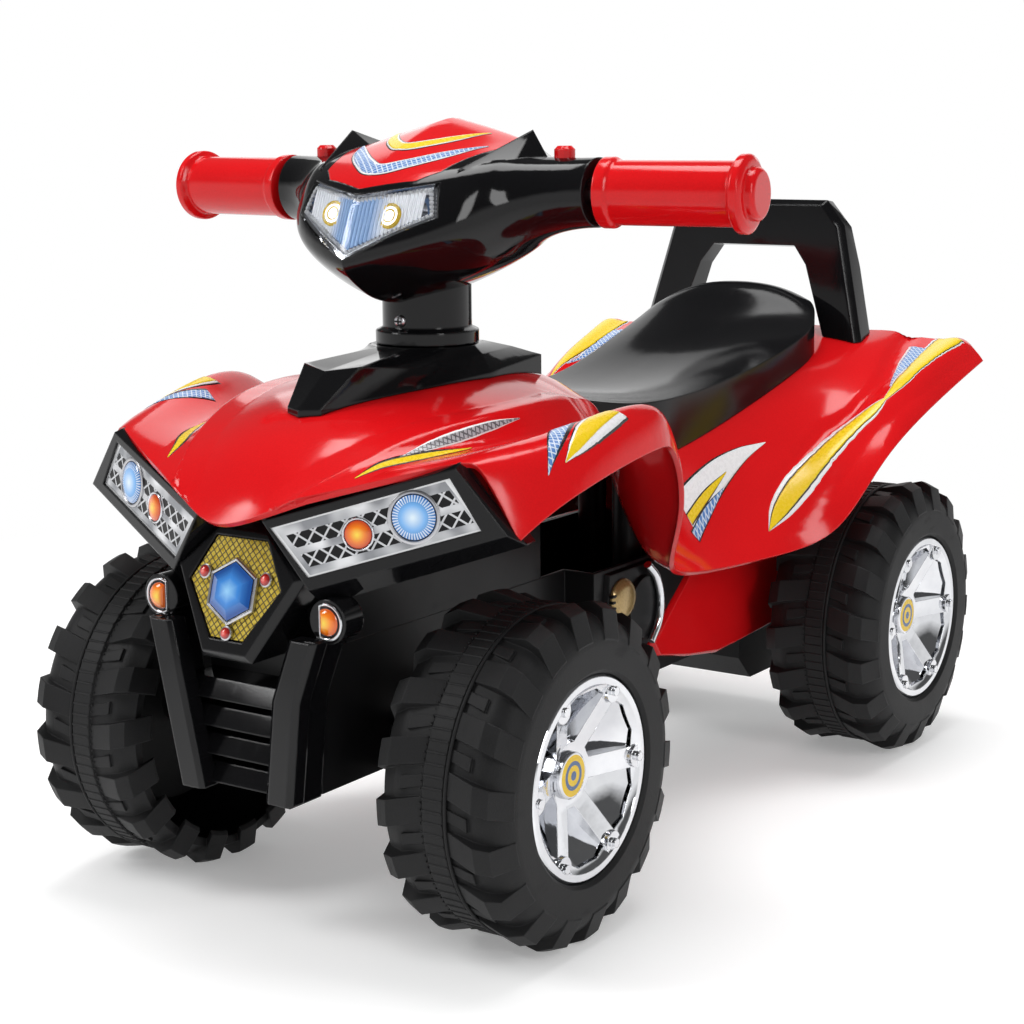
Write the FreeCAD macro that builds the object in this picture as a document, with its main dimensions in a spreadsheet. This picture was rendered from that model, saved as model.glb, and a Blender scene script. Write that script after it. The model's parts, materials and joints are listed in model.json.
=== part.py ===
import FreeCAD, Part
import math
import os
import re
import types

import Sketcher
from FreeCAD import Matrix, Placement, Rotation, Vector

# A foot-to-floor ride-on quad bike: moulded shell over a tub, steered by a handlebar, tie bar and knuckles.
# Frame: forward is -Y, the rider's left is +X, up is +Z, and the ground is Z = 0.

document = FreeCAD.newDocument("quad_bike")
sheet = document.addObject("Spreadsheet::Sheet", "Sizes")

sizes = {
    # wheels and axles
    "wheel_radius": 87.0,
    "tyre_width": 75.0,
    "tyre_wall": 4.0,
    "lug_height": 5.5,
    "lug_width": 13.5,
    "lug_slant": 9.0,
    "tread_band": 13.0,
    "bead": 1.8,
    "rim_radius": 52.5,
    "rim_inset": 1.5,
    "rim_dish": 12.5,
    "rim_depth": 24.0,
    "rim_sheet": 2.5,
    "rim_ring": 7.0,
    "rim_fit": 0.2,
    "spoke_thickness": 8.0,
    "spoke_width": 11.0,
    "hub_radius": 15.0,
    "hub_cup_radius": 10.5,
    "lobe_radius": 6.0,
    "bolt_radius": 2.4,
    "cap_radius": 12.0,
    "cap_height": 2.6,
    "wheel_hub_radius": 13.0,
    "axle_radius": 5.0,
    "run_clearance": 0.05,
    "side_clearance": 0.3,
    "nut_radius": 8.5,
    "nut_height": 3.5,
    "axle_stub": 2.5,
    "wheelbase": 400.0,
    "axle_mid_y": 2.76,
    "track_half": 115.0,
    # moulded shell
    "body_half_width": 150.0,
    "body_rise": 100.0,
    "shell_wall": 3.0,
    "seating": 0.3,
    "sewing": 0.0001,
    "overrun": 10.0,
    "sky": 500.0,
    # seat and grab hoop
    "hoop_height": 104.0,
    "hoop_half_base": 85.0,
    "hoop_depth": 24.0,
    "hoop_edge": 4.0,
    "hoop_lean": 7.5,
    # front lamps, grille and guard
    "lamp_depth": 26.0,
    "lamp_bevel": 9.0,
    "lamp_recess": 3.0,
    "lamp_panel": 1.6,
    "grille_half_height": 33.0,
    "grille_depth": 21.0,
    "grille_bevel": 4.0,
    "badge_recess": 2.5,
    "badge_plate": 1.5,
    "post_width": 7.0,
    "post_depth": 24.0,
    "post_bow": 3.0,
    "slat_half": 34.0,
    "slat_height": 9.0,
    "slat_reach": 19.0,
    "slat_pitch": 14.5,
    "blinker_radius": 11.0,
    "blinker_depth": 14.0,
    "blinker_lens": 8.5,
    "blinker_crown": 4.0,
    # chassis
    "tub_drop": 10.0,
    "tub_wall": 3.0,
    "tub_height": 73.0,
    "tub_reach": 67.0,
    "front_tub_half": 36.0,
    "rear_tub_half": 56.0,
    "tub_step": 155.0,
    "housing_half": 56.0,
    "housing_reach": 70.0,
    "housing_tail": 56.0,
    "housing_drop": 41.0,
    "housing_rise": 31.0,
    "housing_edge": 8.0,
    "panel_thickness": 5.0,
    "engine_thickness": 3.0,
    "fin_thickness": 3.0,
    "fin_pitch": 7.0,
    "post_radius": 9.0,
    "tail_half": 56.0,
    "nose_setback": 22.0,
    "nose_length": 130.0,
    # steering linkage
    "column_setback": 75.0,
    "kingpin_half": 60.0,
    "kingpin_radius": 4.0,
    "kingpin_head": 7.0,
    "beam_height": 24.0,
    "beam_depth": 22.0,
    "boss_radius": 9.0,
    "knuckle_plate": 7.0,
    "knuckle_half": 10.0,
    "knuckle_gap": 1.0,
    "knuckle_arm": 45.0,
    "arm_half": 6.0,
    "link_pin_radius": 4.0,
    "link_play": 0.45,
    "crank": 30.0,
    "tie_thickness": 4.0,
    "tie_half": 8.0,
    "rod_radius": 5.0,
    "crank_gap": 6.0,
    "bush_radius": 9.0,
    "bush_length": 20.0,
    "bush_flange": 2.0,
    "bridge_half": 16.0,
    "slit_room": 3.0,
    "arm_swing": 2.4,
    "crank_swing": 3.5,
    "rod_head": 28.0,
    "hub_seat": 76.0,
    # steering column, cowl and handlebar
    "base_reach": 120.0,
    "base_rim": 3.0,
    "collar_radius": 28.0,
    "collar_height": 7.0,
    "column_radius": 24.2,
    "spigot_radius": 20.0,
    "spigot_length": 14.0,
    "column_top": 46.0,
    "bar_rise": 194.0,
    "cowl_reach": 100.0,
    "cowl_wall": 2.6,
    "grip_start": 101.0,
    "grip_length": 88.5,
    "grip_radius": 16.6,
    "grip_flange": 20.0,
    "grip_flange_width": 6.0,
    "grip_cap_radius": 13.5,
    "grip_cap_width": 5.0,
    "grip_sweep": 6.5,
    "bar_radius": 8.0,
    "bar_setback": 15.0,
    "button_half": 79.0,
    "button_radius": 5.5,
    "button_stand": 6.0,
    "button_travel": 2.5,
    "button_flange": 7.5,
    "button_foot": 2.0,
    "screw_radius": 3.4,
    "screw_head": 2.0,
    "screw_rise": 6.0,
    "grip_inner_flange": 18.3,
    "led_radius": 7.0,
    "led_height": 5.0,
}
plain = {
    "lug_count": 18,
    "spoke_count": 6,
    "slat_count": 4,
    "fin_count": 6,
    "base_top_share": 1.13,
    "bolt_stand_share": 1.6,
    "cap_crown_share": 0.8,
    "cap_edge_share": 0.85,
    "window_corner_share": 0.9,
    "window_flat_share": 0.2,
}

for row, (name, size) in enumerate({**sizes, **plain}.items(), start=1):
    sheet.set("A%d" % row, name)
    sheet.set("B%d" % row, str(size))
    sheet.setAlias("B%d" % row, name)
document.recompute()
s = types.SimpleNamespace(**{name: float(sheet.get(name)) for name in {**sizes, **plain}})

# Places that many pieces share
front_y = s.axle_mid_y - s.wheelbase / 2
rear_y = s.axle_mid_y + s.wheelbase / 2
axle_z = s.wheel_radius
tyre_top = 2 * s.wheel_radius
column_y = front_y + s.column_setback
bar_z = tyre_top + s.bar_rise
front_axle_text = "axle_mid_y - wheelbase / 2"
rear_axle_text = "axle_mid_y + wheelbase / 2"
column_text = front_axle_text + " + column_setback"
floor_text = "wheel_radius - tub_drop"
tub_top_text = floor_text + " + tub_height"
beam_top_text = "wheel_radius + beam_height / 2"
link_text = beam_top_text + " + side_clearance + knuckle_plate"
tie_text = link_text + " + side_clearance"
nodes = {}


# Helpers that bind features to the sheet

def bound(text):
    def named(word):
        return "Sizes." + word.group() if hasattr(s, word.group()) else word.group()

    return re.sub(r"[a-z_]+", named, text)


def amount(text):
    return float(sheet.evalExpression(bound(text)))


def bind(item, prop, text):
    item.setExpression(prop, bound(text))


def place(item, x="0", y="0", z="0", turn=Rotation()):
    item.Placement = Placement(Vector(amount(x), amount(y), amount(z)), turn)
    for axis, text in zip("xyz", (x, y, z)):
        bind(item, "Placement.Base." + axis, text)


def node(item, label):
    item.Label = label
    nodes[label] = item
    return item


def shaped(label, shape):
    item = document.addObject("Part::Feature", label)
    item.Shape = shape
    return node(item, label)


def mirrored(label, source):
    item = document.addObject("Part::Mirroring", label)
    item.Source = source
    item.Normal = Vector(1, 0, 0)
    return node(item, label)


def box(name, corner, extent):
    item = document.addObject("Part::Box", name)
    for prop, text in zip(("Length", "Width", "Height"), extent):
        bind(item, prop, text)
    place(item, *corner)
    return item


def cylinder(name, foot, radius, height, turn=Rotation()):
    item = document.addObject("Part::Cylinder", name)
    bind(item, "Radius", radius)
    bind(item, "Height", height)
    place(item, *foot, turn)
    return item


def fuse(name, items):
    item = document.addObject("Part::MultiFuse", name)
    item.Shapes = items
    return item


def cut(name, base, tools):
    item = document.addObject("Part::Cut", name)
    item.Base = base
    item.Tool = tools[0] if len(tools) == 1 else fuse(name + "_tools", tools)
    return item


def new_body(label):
    body = document.addObject("PartDesign::Body", label)
    return node(body, label)


def new_sketch(body, role, lift):
    sketch = body.newObject("Sketcher::SketchObject", body.Name + "_sketch")
    origin = [feature for feature in body.Origin.OriginFeatures if feature.Role == role]
    sketch.AttachmentSupport = [(origin[0], "")]
    sketch.MapMode = "FlatFace"
    if lift != "0":
        sketch.AttachmentOffset = Placement(Vector(0, 0, amount(lift)), Rotation())
        bind(sketch, "AttachmentOffset.Base.z", lift)
    return sketch


def pin_point(sketch, geometry, position, corner):
    for kind, axis, text in (("DistanceX", -2, corner[0]), ("DistanceY", -1, corner[1])):
        if text == "0":
            sketch.addConstraint(Sketcher.Constraint("PointOnObject", geometry, position, axis))
        else:
            constraint = Sketcher.Constraint(kind, -1, 1, geometry, position, amount(text))
            bind(sketch, "Constraints[%d]" % sketch.addConstraint(constraint), text)


def polygon_sketch(body, role, corners, lift="0"):
    sketch = new_sketch(body, role, lift)
    points = [Vector(amount(x), amount(y), 0) for x, y in corners]
    last = len(points) - 1
    for index, point in enumerate(points):
        sketch.addGeometry(Part.LineSegment(point, points[0 if index == last else index + 1]), False)
    for index in range(len(points)):
        following = 0 if index == last else index + 1
        sketch.addConstraint(Sketcher.Constraint("Coincident", index, 2, following, 1))
    for index, corner in enumerate(corners):
        pin_point(sketch, index, 1, corner)
    return sketch


def circle_sketch(body, role, centre, radius, lift="0"):
    sketch = new_sketch(body, role, lift)
    middle = Vector(amount(centre[0]), amount(centre[1]), 0)
    sketch.addGeometry(Part.Circle(middle, Vector(0, 0, 1), amount(radius)), False)
    pin_point(sketch, 0, 3, centre)
    constraint = Sketcher.Constraint("Radius", 0, amount(radius))
    bind(sketch, "Constraints[%d]" % sketch.addConstraint(constraint), radius)
    return sketch


def revolve(body, sketch):
    feature = body.newObject("PartDesign::Revolution", body.Name + "_revolution")
    feature.Profile = sketch
    feature.ReferenceAxis = (sketch, ["V_Axis"])
    document.recompute()
    return feature


def pad(body, sketch, length):
    feature = body.newObject("PartDesign::Pad", body.Name + "_pad")
    feature.Profile = sketch
    bind(feature, "Length", length)
    document.recompute()
    return feature


def pocket(body, sketch, length):
    feature = body.newObject("PartDesign::Pocket", body.Name + "_pocket")
    feature.Profile = sketch
    feature.Reversed = True
    bind(feature, "Length", length)
    before = body.Shape.Volume
    document.recompute()
    assert body.Shape.Volume < before, body.Label + " pocket cuts nothing"
    return feature


def around(body, features, count):
    pattern = body.newObject("PartDesign::PolarPattern", body.Name + "_pattern")
    pattern.Originals = features
    axis = [feature for feature in body.Origin.OriginFeatures if feature.Role == "Z_Axis"]
    pattern.Axis = (axis[0], [""])
    bind(pattern, "Occurrences", count)
    body.Tip = pattern
    document.recompute()
    return pattern


# Helpers that make freeform solids

def at(x_share, y_share, z_share):
    return Vector(x_share * s.body_half_width, s.axle_mid_y + y_share * s.wheelbase / 2,
                  tyre_top + z_share * s.body_rise)


def knots_for(count, degree=3):
    spans = count - degree
    ends = degree + 1
    return [float(index) for index in range(spans + 1)], [ends] + [1] * (spans - 1) + [ends]


def spline_face(grid):
    u_knots, u_mults = knots_for(len(grid))
    v_knots, v_mults = knots_for(len(grid[0]))
    surface = Part.BSplineSurface()
    surface.buildFromPolesMultsKnots(grid, u_mults, v_mults, u_knots, v_knots, False, False, 3, 3)
    return surface.toShape()


def spline_edge(poles):
    knots, mults = knots_for(len(poles))
    curve = Part.BSplineCurve()
    curve.buildFromPolesMultsKnots(poles, mults, knots, False, 3)
    return curve.toShape()


def full_grid(x_shares, y_shares, z_shares):
    grid = []
    for row in zip(x_shares, y_shares, z_shares):
        half = [at(*shares) for shares in zip(*row)]
        grid.append([Vector(-point.x, point.y, point.z) for point in reversed(half[1:])] + half)
    return grid


def offset_grid(grid, distance):
    last_row = len(grid) - 1
    last_column = len(grid[0]) - 1
    moved = []
    for i, row in enumerate(grid):
        points = []
        for j, point in enumerate(row):
            along = grid[min(i + 1, last_row)][j] - grid[max(i - 1, 0)][j]
            across = row[min(j + 1, last_column)] - row[max(j - 1, 0)]
            points.append(point + across.cross(along).normalize() * distance)
        moved.append(points)
    return moved


def flat_grid(grid, level):
    return [[Vector(point.x, point.y, level) for point in row] for row in grid]


def solid_between(upper, lower):
    faces = [spline_face(upper), spline_face(lower)]
    for side in (lambda grid: grid[0], lambda grid: grid[-1],
                 lambda grid: [row[0] for row in grid], lambda grid: [row[-1] for row in grid]):
        faces.append(Part.makeRuledSurface(spline_edge(side(upper)), spline_edge(side(lower))))
    return closed_solid(faces)


def closed_solid(faces):
    shell = Part.Shell(faces)
    shell.sewShape(s.sewing)
    solid = Part.Solid(Part.Shell(shell.Faces))
    if solid.Volume < 0:
        solid.reverse()
    return solid


def polygon_face(points):
    return Part.Face(Part.makePolygon(points + points[:1]))


def prism(points, depth):
    return polygon_face(points).extrude(depth)


def faceted_loft(*outlines):
    return Part.makeLoft([Part.makePolygon(points + points[:1]) for points in outlines], True, True)


def largest(shape):
    return max(shape.Solids, key=lambda solid: solid.Volume)


def mirror_x(points):
    return [Vector(-point.x, point.y, point.z) for point in reversed(points)]


def both_halves(half):
    return half + [Vector(-point.x, point.y, point.z) for point in reversed(half) if point.x > s.sewing]


def reflected(shape):
    return shape.mirror(Vector(), Vector(1, 0, 0))


# Tyre: a blow-moulded carcass open on its inner side, with two staggered rows of slanted lugs

def ring_solid(corners):
    face = polygon_face([Vector(radius, 0, z) for radius, z in corners])
    return face.revolve(Vector(), Vector(0, 0, 1), 360)


shoulder_shares = ((0.76, 1.0), (0.88, 0.88), (0.937, 0.60))
inner_shoulder_shares = ((0.885, 0.56), (0.825, 0.82))
lug_crown_shares = ((1.0, 0.66), (0.965, 0.86), (0.80, 1.0))
lug_root_shares = ((0.77, 0.96), (0.86, 0.85), (0.915, 0.58))
small_lug_share = 0.42


def carcass_solid():
    half = s.tyre_width / 2
    pocket_radius = s.rim_radius + s.rim_fit
    web_top = half - s.rim_inset - s.rim_depth
    web_low = web_top - s.tyre_wall
    hub_end = s.hub_seat + s.side_clearance - s.track_half
    bore = s.axle_radius + s.run_clearance
    carcass = s.wheel_radius - s.lug_height
    shoulder = [Vector(r * s.wheel_radius, 0, z * half) for r, z in shoulder_shares]
    shoulder[-1].x = carcass
    inner = [Vector(r * s.wheel_radius, 0, z * half) for r, z in inner_shoulder_shares]
    opposite = [Vector(point.x, 0, -point.z) for point in reversed(shoulder)]
    edge = Vector(inner[1].x, 0, opposite[1].z)
    chain = [
        Vector(bore, 0, web_top),
        Vector(pocket_radius, 0, web_top),
        Vector(pocket_radius, 0, half - s.bead),
        Vector(pocket_radius + s.bead, 0, half),
        shoulder[0],
    ]
    edges = [Part.makeLine(a, b) for a, b in zip(chain, chain[1:])]
    edges.append(Part.Arc(*shoulder).toShape())
    rib = s.tread_band / 2
    band = [
        shoulder[-1],
        Vector(carcass, 0, rib),
        Vector(carcass + s.bead, 0, rib - s.bead / 2),
        Vector(carcass + s.bead, 0, s.bead / 2 - rib),
        Vector(carcass, 0, -rib),
        opposite[0],
        opposite[1],
        edge,
        Vector(inner[0].x, 0, -inner[0].z),
        inner[0],
        inner[1],
        Vector(pocket_radius + s.tyre_wall, 0, half - s.tyre_wall),
        Vector(pocket_radius + s.tyre_wall, 0, web_low),
        Vector(s.wheel_hub_radius, 0, web_low),
        Vector(s.wheel_hub_radius, 0, hub_end),
        Vector(bore, 0, hub_end),
        chain[0],
    ]
    edges += [Part.makeLine(a, b) for a, b in zip(band, band[1:])]
    return Part.Face(Part.Wire(edges)).revolve(Vector(), Vector(0, 0, 1), 360)


def lug_row():
    half = s.tyre_width / 2
    rib = s.tread_band / 2
    crown = [(r * s.wheel_radius, z * half) for r, z in lug_crown_shares]
    root = [(r * s.wheel_radius, z * half) for r, z in lug_root_shares]
    ring = ring_solid([(s.wheel_radius, rib)] + crown + root + [(root[-1][0], rib)])
    low = root[0][0] - s.overrun
    width = s.lug_width / 2
    tip = half + s.overrun
    outline = [
        Vector(low, -width, rib),
        Vector(low, width, rib),
        Vector(low, s.lug_slant + width, tip),
        Vector(low, s.lug_slant - width, tip),
    ]
    rise = Vector(s.wheel_radius + s.overrun - low, 0, 0)
    lug = prism(outline, rise).common(ring)
    pitch = 360 / s.lug_count
    small_width = width * small_lug_share
    reach = rib + (half - rib) * small_lug_share
    small = prism([
        Vector(low, -small_width, rib),
        Vector(low, small_width, rib),
        Vector(low, width, reach),
        Vector(low, 0, reach),
    ], rise).common(ring)
    small.rotate(Vector(), Vector(0, 0, 1), pitch / 2)
    row = []
    for index in range(int(s.lug_count)):
        for master in (lug, small):
            piece = master.copy()
            piece.rotate(Vector(), Vector(0, 0, 1), index * pitch)
            row.append(piece)
    return row


def tyre_solid():
    outer_row = lug_row()
    inner_row = []
    for lug in outer_row:
        piece = lug.mirror(Vector(), Vector(0, 0, 1))
        piece.rotate(Vector(), Vector(0, 0, 1), 180 / s.lug_count)
        inner_row.append(piece)
    return carcass_solid().fuse(outer_row + inner_row)


# Rim: a dished disc with open spokes, bolt lobes and a cup that clears the axle nut

rim_face = "(tyre_width / 2 - rim_inset)"
dish_text = rim_face + " - rim_dish"
rim_floor = rim_face + " - rim_depth"


def spoke_edge(reach):
    half_turn = "(180 deg / spoke_count)"
    return "(%s * tan%s - spoke_width / 2 / cos%s)" % (reach, half_turn, half_turn)


def rim_body(label):
    body = new_body(label)
    ring_inner = "(rim_radius - rim_ring)"
    disc_low = dish_text + " - spoke_thickness"
    ring_low = rim_face + " - bead - spoke_thickness"
    revolve(body, polygon_sketch(body, "XZ_Plane", [
        ("hub_cup_radius", disc_low),
        ("hub_cup_radius", dish_text),
        ("hub_radius", dish_text),
        (ring_inner, rim_face + " - bead"),
        (ring_inner, ring_low),
        ("hub_radius", disc_low),
    ]))
    inner = "(hub_radius + bead)"
    outer = "(%s - bead)" % ring_inner
    corner = "(%s * window_corner_share)" % outer
    flat = "%s * window_flat_share" % outer
    window = pocket(body, polygon_sketch(body, "XY_Plane", [
        (inner, "-" + spoke_edge(inner)),
        (corner, "-" + spoke_edge(corner)),
        (outer, "-" + flat),
        (outer, flat),
        (corner, spoke_edge(corner)),
        (inner, spoke_edge(inner)),
    ]), rim_face)
    around(body, [window], "spoke_count")
    revolve(body, polygon_sketch(body, "XZ_Plane", [
        ("hub_cup_radius", rim_floor),
        ("rim_radius", rim_floor),
        ("rim_radius", rim_face + " - bead"),
        ("rim_radius - bead", rim_face),
        (ring_inner + " + bead", rim_face),
        (ring_inner, rim_face + " - bead"),
        (ring_inner, ring_low),
        ("rim_radius - rim_sheet", ring_low),
        ("rim_radius - rim_sheet", rim_floor + " + rim_sheet"),
        ("hub_cup_radius + rim_sheet", rim_floor + " + rim_sheet"),
        ("hub_cup_radius + rim_sheet", disc_low + " + rim_sheet"),
        ("hub_cup_radius", disc_low + " + rim_sheet"),
    ]))
    spoke = ["%s * %s(180 deg / spoke_count)" % (ring_inner, turn) for turn in ("cos", "sin")]
    lobe_ring = circle_sketch(body, "XY_Plane", spoke, "lobe_radius", ring_low)
    lobe = pad(body, lobe_ring, "spoke_thickness + bead / 2")
    bolt_ring = circle_sketch(body, "XY_Plane", spoke, "bolt_radius", rim_face + " - bead")
    bolt = pad(body, bolt_ring, "bead * bolt_stand_share")
    around(body, [lobe, bolt], "spoke_count")
    return body


def cap_body(label):
    body = new_body(label)
    revolve(body, polygon_sketch(body, "XZ_Plane", [
        ("0", dish_text),
        ("cap_radius", dish_text),
        ("cap_radius", dish_text + " + cap_height / 2"),
        ("cap_radius * cap_crown_share", dish_text + " + cap_height * cap_edge_share"),
        ("0", dish_text + " + cap_height"),
    ]))
    return body


wheel_places = {
    "front_left": (1, front_y),
    "front_right": (-1, front_y),
    "rear_left": (1, rear_y),
    "rear_right": (-1, rear_y),
}
outward = {side: Rotation(Vector(0, 1, 0), 90 * side) for side in (1, -1)}


def build_wheels():
    tyre = tyre_solid()
    masters = {}
    for corner, (side, y) in wheel_places.items():
        placement = Placement(Vector(side * s.track_half, y, axle_z), outward[side])
        item = shaped("tyre_" + corner, tyre.copy())
        item.Placement = placement
        if not masters:
            masters["rim"] = rim_body("rim_" + corner)
            masters["hub_cap"] = cap_body("hub_cap_" + corner)
            for body in masters.values():
                place(body, "track_half", front_axle_text, "wheel_radius", outward[side])
        else:
            for kind, body in masters.items():
                source = body.Shape.copy()
                source.Placement = Placement()
                item = shaped("%s_%s" % (kind, corner), source)
                item.Placement = placement


build_wheels()


# Upper shell: one moulded net from the front fenders over the waist to the rear fenders

shell_x_shares = (
    (0.00, 0.14, 0.27, 0.49, 0.68, 0.755, 0.80, 0.91),
    (0.00, 0.17, 0.325, 0.47, 0.64, 0.775, 0.885, 0.95),
    (0.00, 0.21, 0.42, 0.51, 0.65, 0.82, 0.95, 0.98),
    (0.00, 0.27, 0.55, 0.635, 0.74, 0.85, 0.97, 0.99),
    (0.00, 0.29, 0.60, 0.685, 0.77, 0.87, 0.98, 1.00),
    (0.00, 0.29, 0.59, 0.68, 0.765, 0.86, 0.96, 0.97),
    (0.00, 0.28, 0.52, 0.61, 0.71, 0.81, 0.91, 0.92),
    (0.00, 0.24, 0.41, 0.51, 0.62, 0.75, 0.84, 0.86),
    (0.00, 0.21, 0.33, 0.42, 0.52, 0.61, 0.69, 0.71),
    (0.00, 0.23, 0.35, 0.41, 0.45, 0.51, 0.56, 0.58),
    (0.00, 0.24, 0.37, 0.42, 0.45, 0.49, 0.525, 0.54),
    (0.00, 0.27, 0.40, 0.47, 0.53, 0.59, 0.64, 0.66),
    (0.00, 0.28, 0.42, 0.52, 0.61, 0.72, 0.82, 0.855),
    (0.00, 0.29, 0.44, 0.57, 0.68, 0.80, 0.92, 0.945),
    (0.00, 0.30, 0.47, 0.60, 0.71, 0.81, 0.94, 0.98),
    (0.00, 0.30, 0.48, 0.63, 0.71, 0.81, 0.94, 1.0),
)
shell_y_shares = (
    (-1.50, -1.47, -1.42, -1.345, -1.265, -1.225, -1.215, -1.20),
    (-1.415, -1.39, -1.335, -1.28, -1.21, -1.155, -1.135, -1.125),
    (-1.235, -1.215, -1.165, -1.115, -1.05, -0.995, -0.975, -0.965),
    (-0.985, -0.965, -0.925, -0.885, -0.845, -0.815, -0.795, -0.785),
    (-0.735, -0.725, -0.715, -0.69, -0.67, -0.655, -0.645, -0.64),
    (-0.51, -0.515, -0.53, -0.54, -0.545, -0.545, -0.55, -0.555),
    (-0.31, -0.325, -0.36, -0.385, -0.40, -0.415, -0.43, -0.435),
    (-0.135, -0.165, -0.22, -0.26, -0.29, -0.315, -0.335, -0.345),
    (0.005, -0.015, -0.065, -0.125, -0.175, -0.205, -0.225, -0.235),
    (0.165, 0.155, 0.135, 0.095, 0.055, 0.025, 0.005, -0.005),
    (0.365, 0.355, 0.335, 0.305, 0.275, 0.255, 0.24, 0.235),
    (0.59, 0.575, 0.545, 0.515, 0.49, 0.475, 0.465, 0.46),
    (0.815, 0.805, 0.775, 0.725, 0.685, 0.655, 0.64, 0.635),
    (1.04, 1.03, 1.005, 0.965, 0.925, 0.87, 0.79, 0.73),
    (1.24, 1.23, 1.215, 1.195, 1.175, 1.145, 1.08, 1.03),
    (1.325, 1.325, 1.34, 1.38, 1.405, 1.425, 1.445, 1.46),
)
shell_z_shares = (
    (0.39, 0.46, 0.547, 0.645, 0.72, 0.75, 0.70, 0.37),
    (0.63, 0.64, 0.63, 0.69, 0.74, 0.79, 0.73, 0.48),
    (0.86, 0.845, 0.775, 0.715, 0.735, 0.83, 0.79, 0.58),
    (0.94, 0.92, 0.85, 0.725, 0.75, 0.895, 0.90, 0.65),
    (0.98, 0.97, 0.885, 0.735, 0.77, 0.91, 0.935, 0.69),
    (1.00, 0.985, 0.875, 0.70, 0.715, 0.85, 0.875, 0.66),
    (0.97, 0.94, 0.76, 0.56, 0.49, 0.52, 0.56, 0.48),
    (0.84, 0.79, 0.54, 0.28, 0.13, 0.14, 0.22, 0.20),
    (0.64, 0.60, 0.44, 0.16, -0.08, -0.16, -0.12, -0.14),
    (0.46, 0.45, 0.36, 0.14, -0.09, -0.24, -0.27, -0.28),
    (0.42, 0.41, 0.37, 0.14, -0.12, -0.28, -0.34, -0.365),
    (0.48, 0.48, 0.46, 0.22, -0.04, -0.20, -0.28, -0.34),
    (0.62, 0.62, 0.60, 0.42, 0.22, 0.06, -0.10, -0.25),
    (0.76, 0.76, 0.73, 0.64, 0.52, 0.44, 0.34, 0.20),
    (0.88, 0.88, 0.84, 0.80, 0.74, 0.69, 0.62, 0.46),
    (0.90, 0.90, 0.88, 0.88, 0.84, 0.82, 0.84, 0.69),
)
crease_column = 2
crease_shares = (0.10, 0.10, 0.08, 0.07, 0.07, 0.09, 0.18, 0.30) + (0.33,) * 8


def creased(table):
    rows = []
    for row, share in zip(table, crease_shares):
        before, peak, after = row[crease_column - 1:crease_column + 2]
        tight = (peak + (before - peak) * share, peak, peak + (after - peak) * share)
        rows.append(row[:crease_column] + tight + row[crease_column + 1:])
    return rows


shell_net = full_grid(creased(shell_x_shares), creased(shell_y_shares), creased(shell_z_shares))
inner_net = offset_grid(shell_net, -s.shell_wall)
above_shell = solid_between(flat_grid(shell_net, s.sky), offset_grid(shell_net, s.seating))
below_shell = solid_between(offset_grid(inner_net, -s.seating), flat_grid(inner_net, 0))


def upright(x, y, radius, low, high):
    return Part.makeCylinder(radius, high - low, Vector(x, y, low))


def block(low, high):
    return Part.makeBox(high.x - low.x, high.y - low.y, high.z - low.z, low)


def build_shell():
    shell = solid_between(shell_net, inner_net).cut(upright(0, column_y, s.bush_radius, tyre_top, s.sky))
    shaped("upper_shell", shell)
    return shell


# Seat: a moulded saddle pad that follows the shell below and has a raised back lip

seat_x_shares = ((0.00, 0.16, 0.30, 0.42, 0.52),) * 9
seat_y_shares = tuple((y,) * 5 for y in (-0.12, 0.02, 0.20, 0.42, 0.70, 0.92, 1.07, 1.155, 1.24))
seat_z_shares = (
    (0.74, 0.73, 0.70, 0.66, 0.62),
    (0.69, 0.69, 0.68, 0.66, 0.64),
    (0.62, 0.63, 0.65, 0.67, 0.66),
    (0.62, 0.63, 0.66, 0.69, 0.68),
    (0.69, 0.70, 0.73, 0.77, 0.75),
    (0.84, 0.85, 0.88, 0.88, 0.84),
    (1.08, 1.07, 1.05, 0.99, 0.90),
    (1.30, 1.28, 1.20, 1.08, 0.92),
    (1.10, 1.09, 1.04, 0.96, 0.86),
)
seat_plan_shares = (
    (0.00, -0.105), (0.20, -0.085), (0.33, 0.04), (0.37, 0.27), (0.40, 0.60),
    (0.44, 0.92), (0.41, 1.10), (0.27, 1.20), (0.00, 1.225),
)


def build_seat():
    half = [at(x, y, 0) for x, y in seat_plan_shares]
    outline = Part.BSplineCurve()
    outline.interpolate(Points=both_halves(half), PeriodicFlag=True)
    column = Part.Face(Part.Wire(outline.toShape())).extrude(Vector(0, 0, s.sky - tyre_top))
    net = full_grid(seat_x_shares, seat_y_shares, seat_z_shares)
    region = solid_between(net, flat_grid(net, 0))
    shaped("seat", largest(column.common(region).common(above_shell)))


# Grab hoop behind the seat

hoop_outer_shares = ((1.0, -0.2), (1.0, 0.04), (0.76, 0.84), (0.60, 1.0))
hoop_inner_shares = ((0.70, -0.3), (0.70, 0.04), (0.47, 0.58), (0.36, 0.70))
hoop_seat_shares = (0.0, 1.20, 0.72)


def build_hoop():
    def outline(shares, y):
        half = [Vector(x * s.hoop_half_base, y, z * s.hoop_height) for x, z in shares]
        return half + mirror_x(half)

    bar = prism(outline(hoop_outer_shares, 0), Vector(0, s.hoop_depth, 0))
    rims = []
    for edge in bar.Edges:
        ends = [vertex.Point for vertex in edge.Vertexes]
        if abs(ends[0].y - ends[1].y) < s.sewing and max(end.z for end in ends) > 0:
            rims.append(edge)
    bar = bar.makeChamfer(s.hoop_edge, rims)
    gap = outline(hoop_inner_shares, -s.overrun)
    bar = bar.cut(prism(gap, Vector(0, s.hoop_depth + 2 * s.overrun, 0)))
    bar.rotate(Vector(), Vector(1, 0, 0), -s.hoop_lean)
    bar.translate(at(*hoop_seat_shares))
    shaped("grab_hoop", bar.common(above_shell))


# Front lamps: slanted housings under the fender noses, each with a thin face panel

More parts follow.
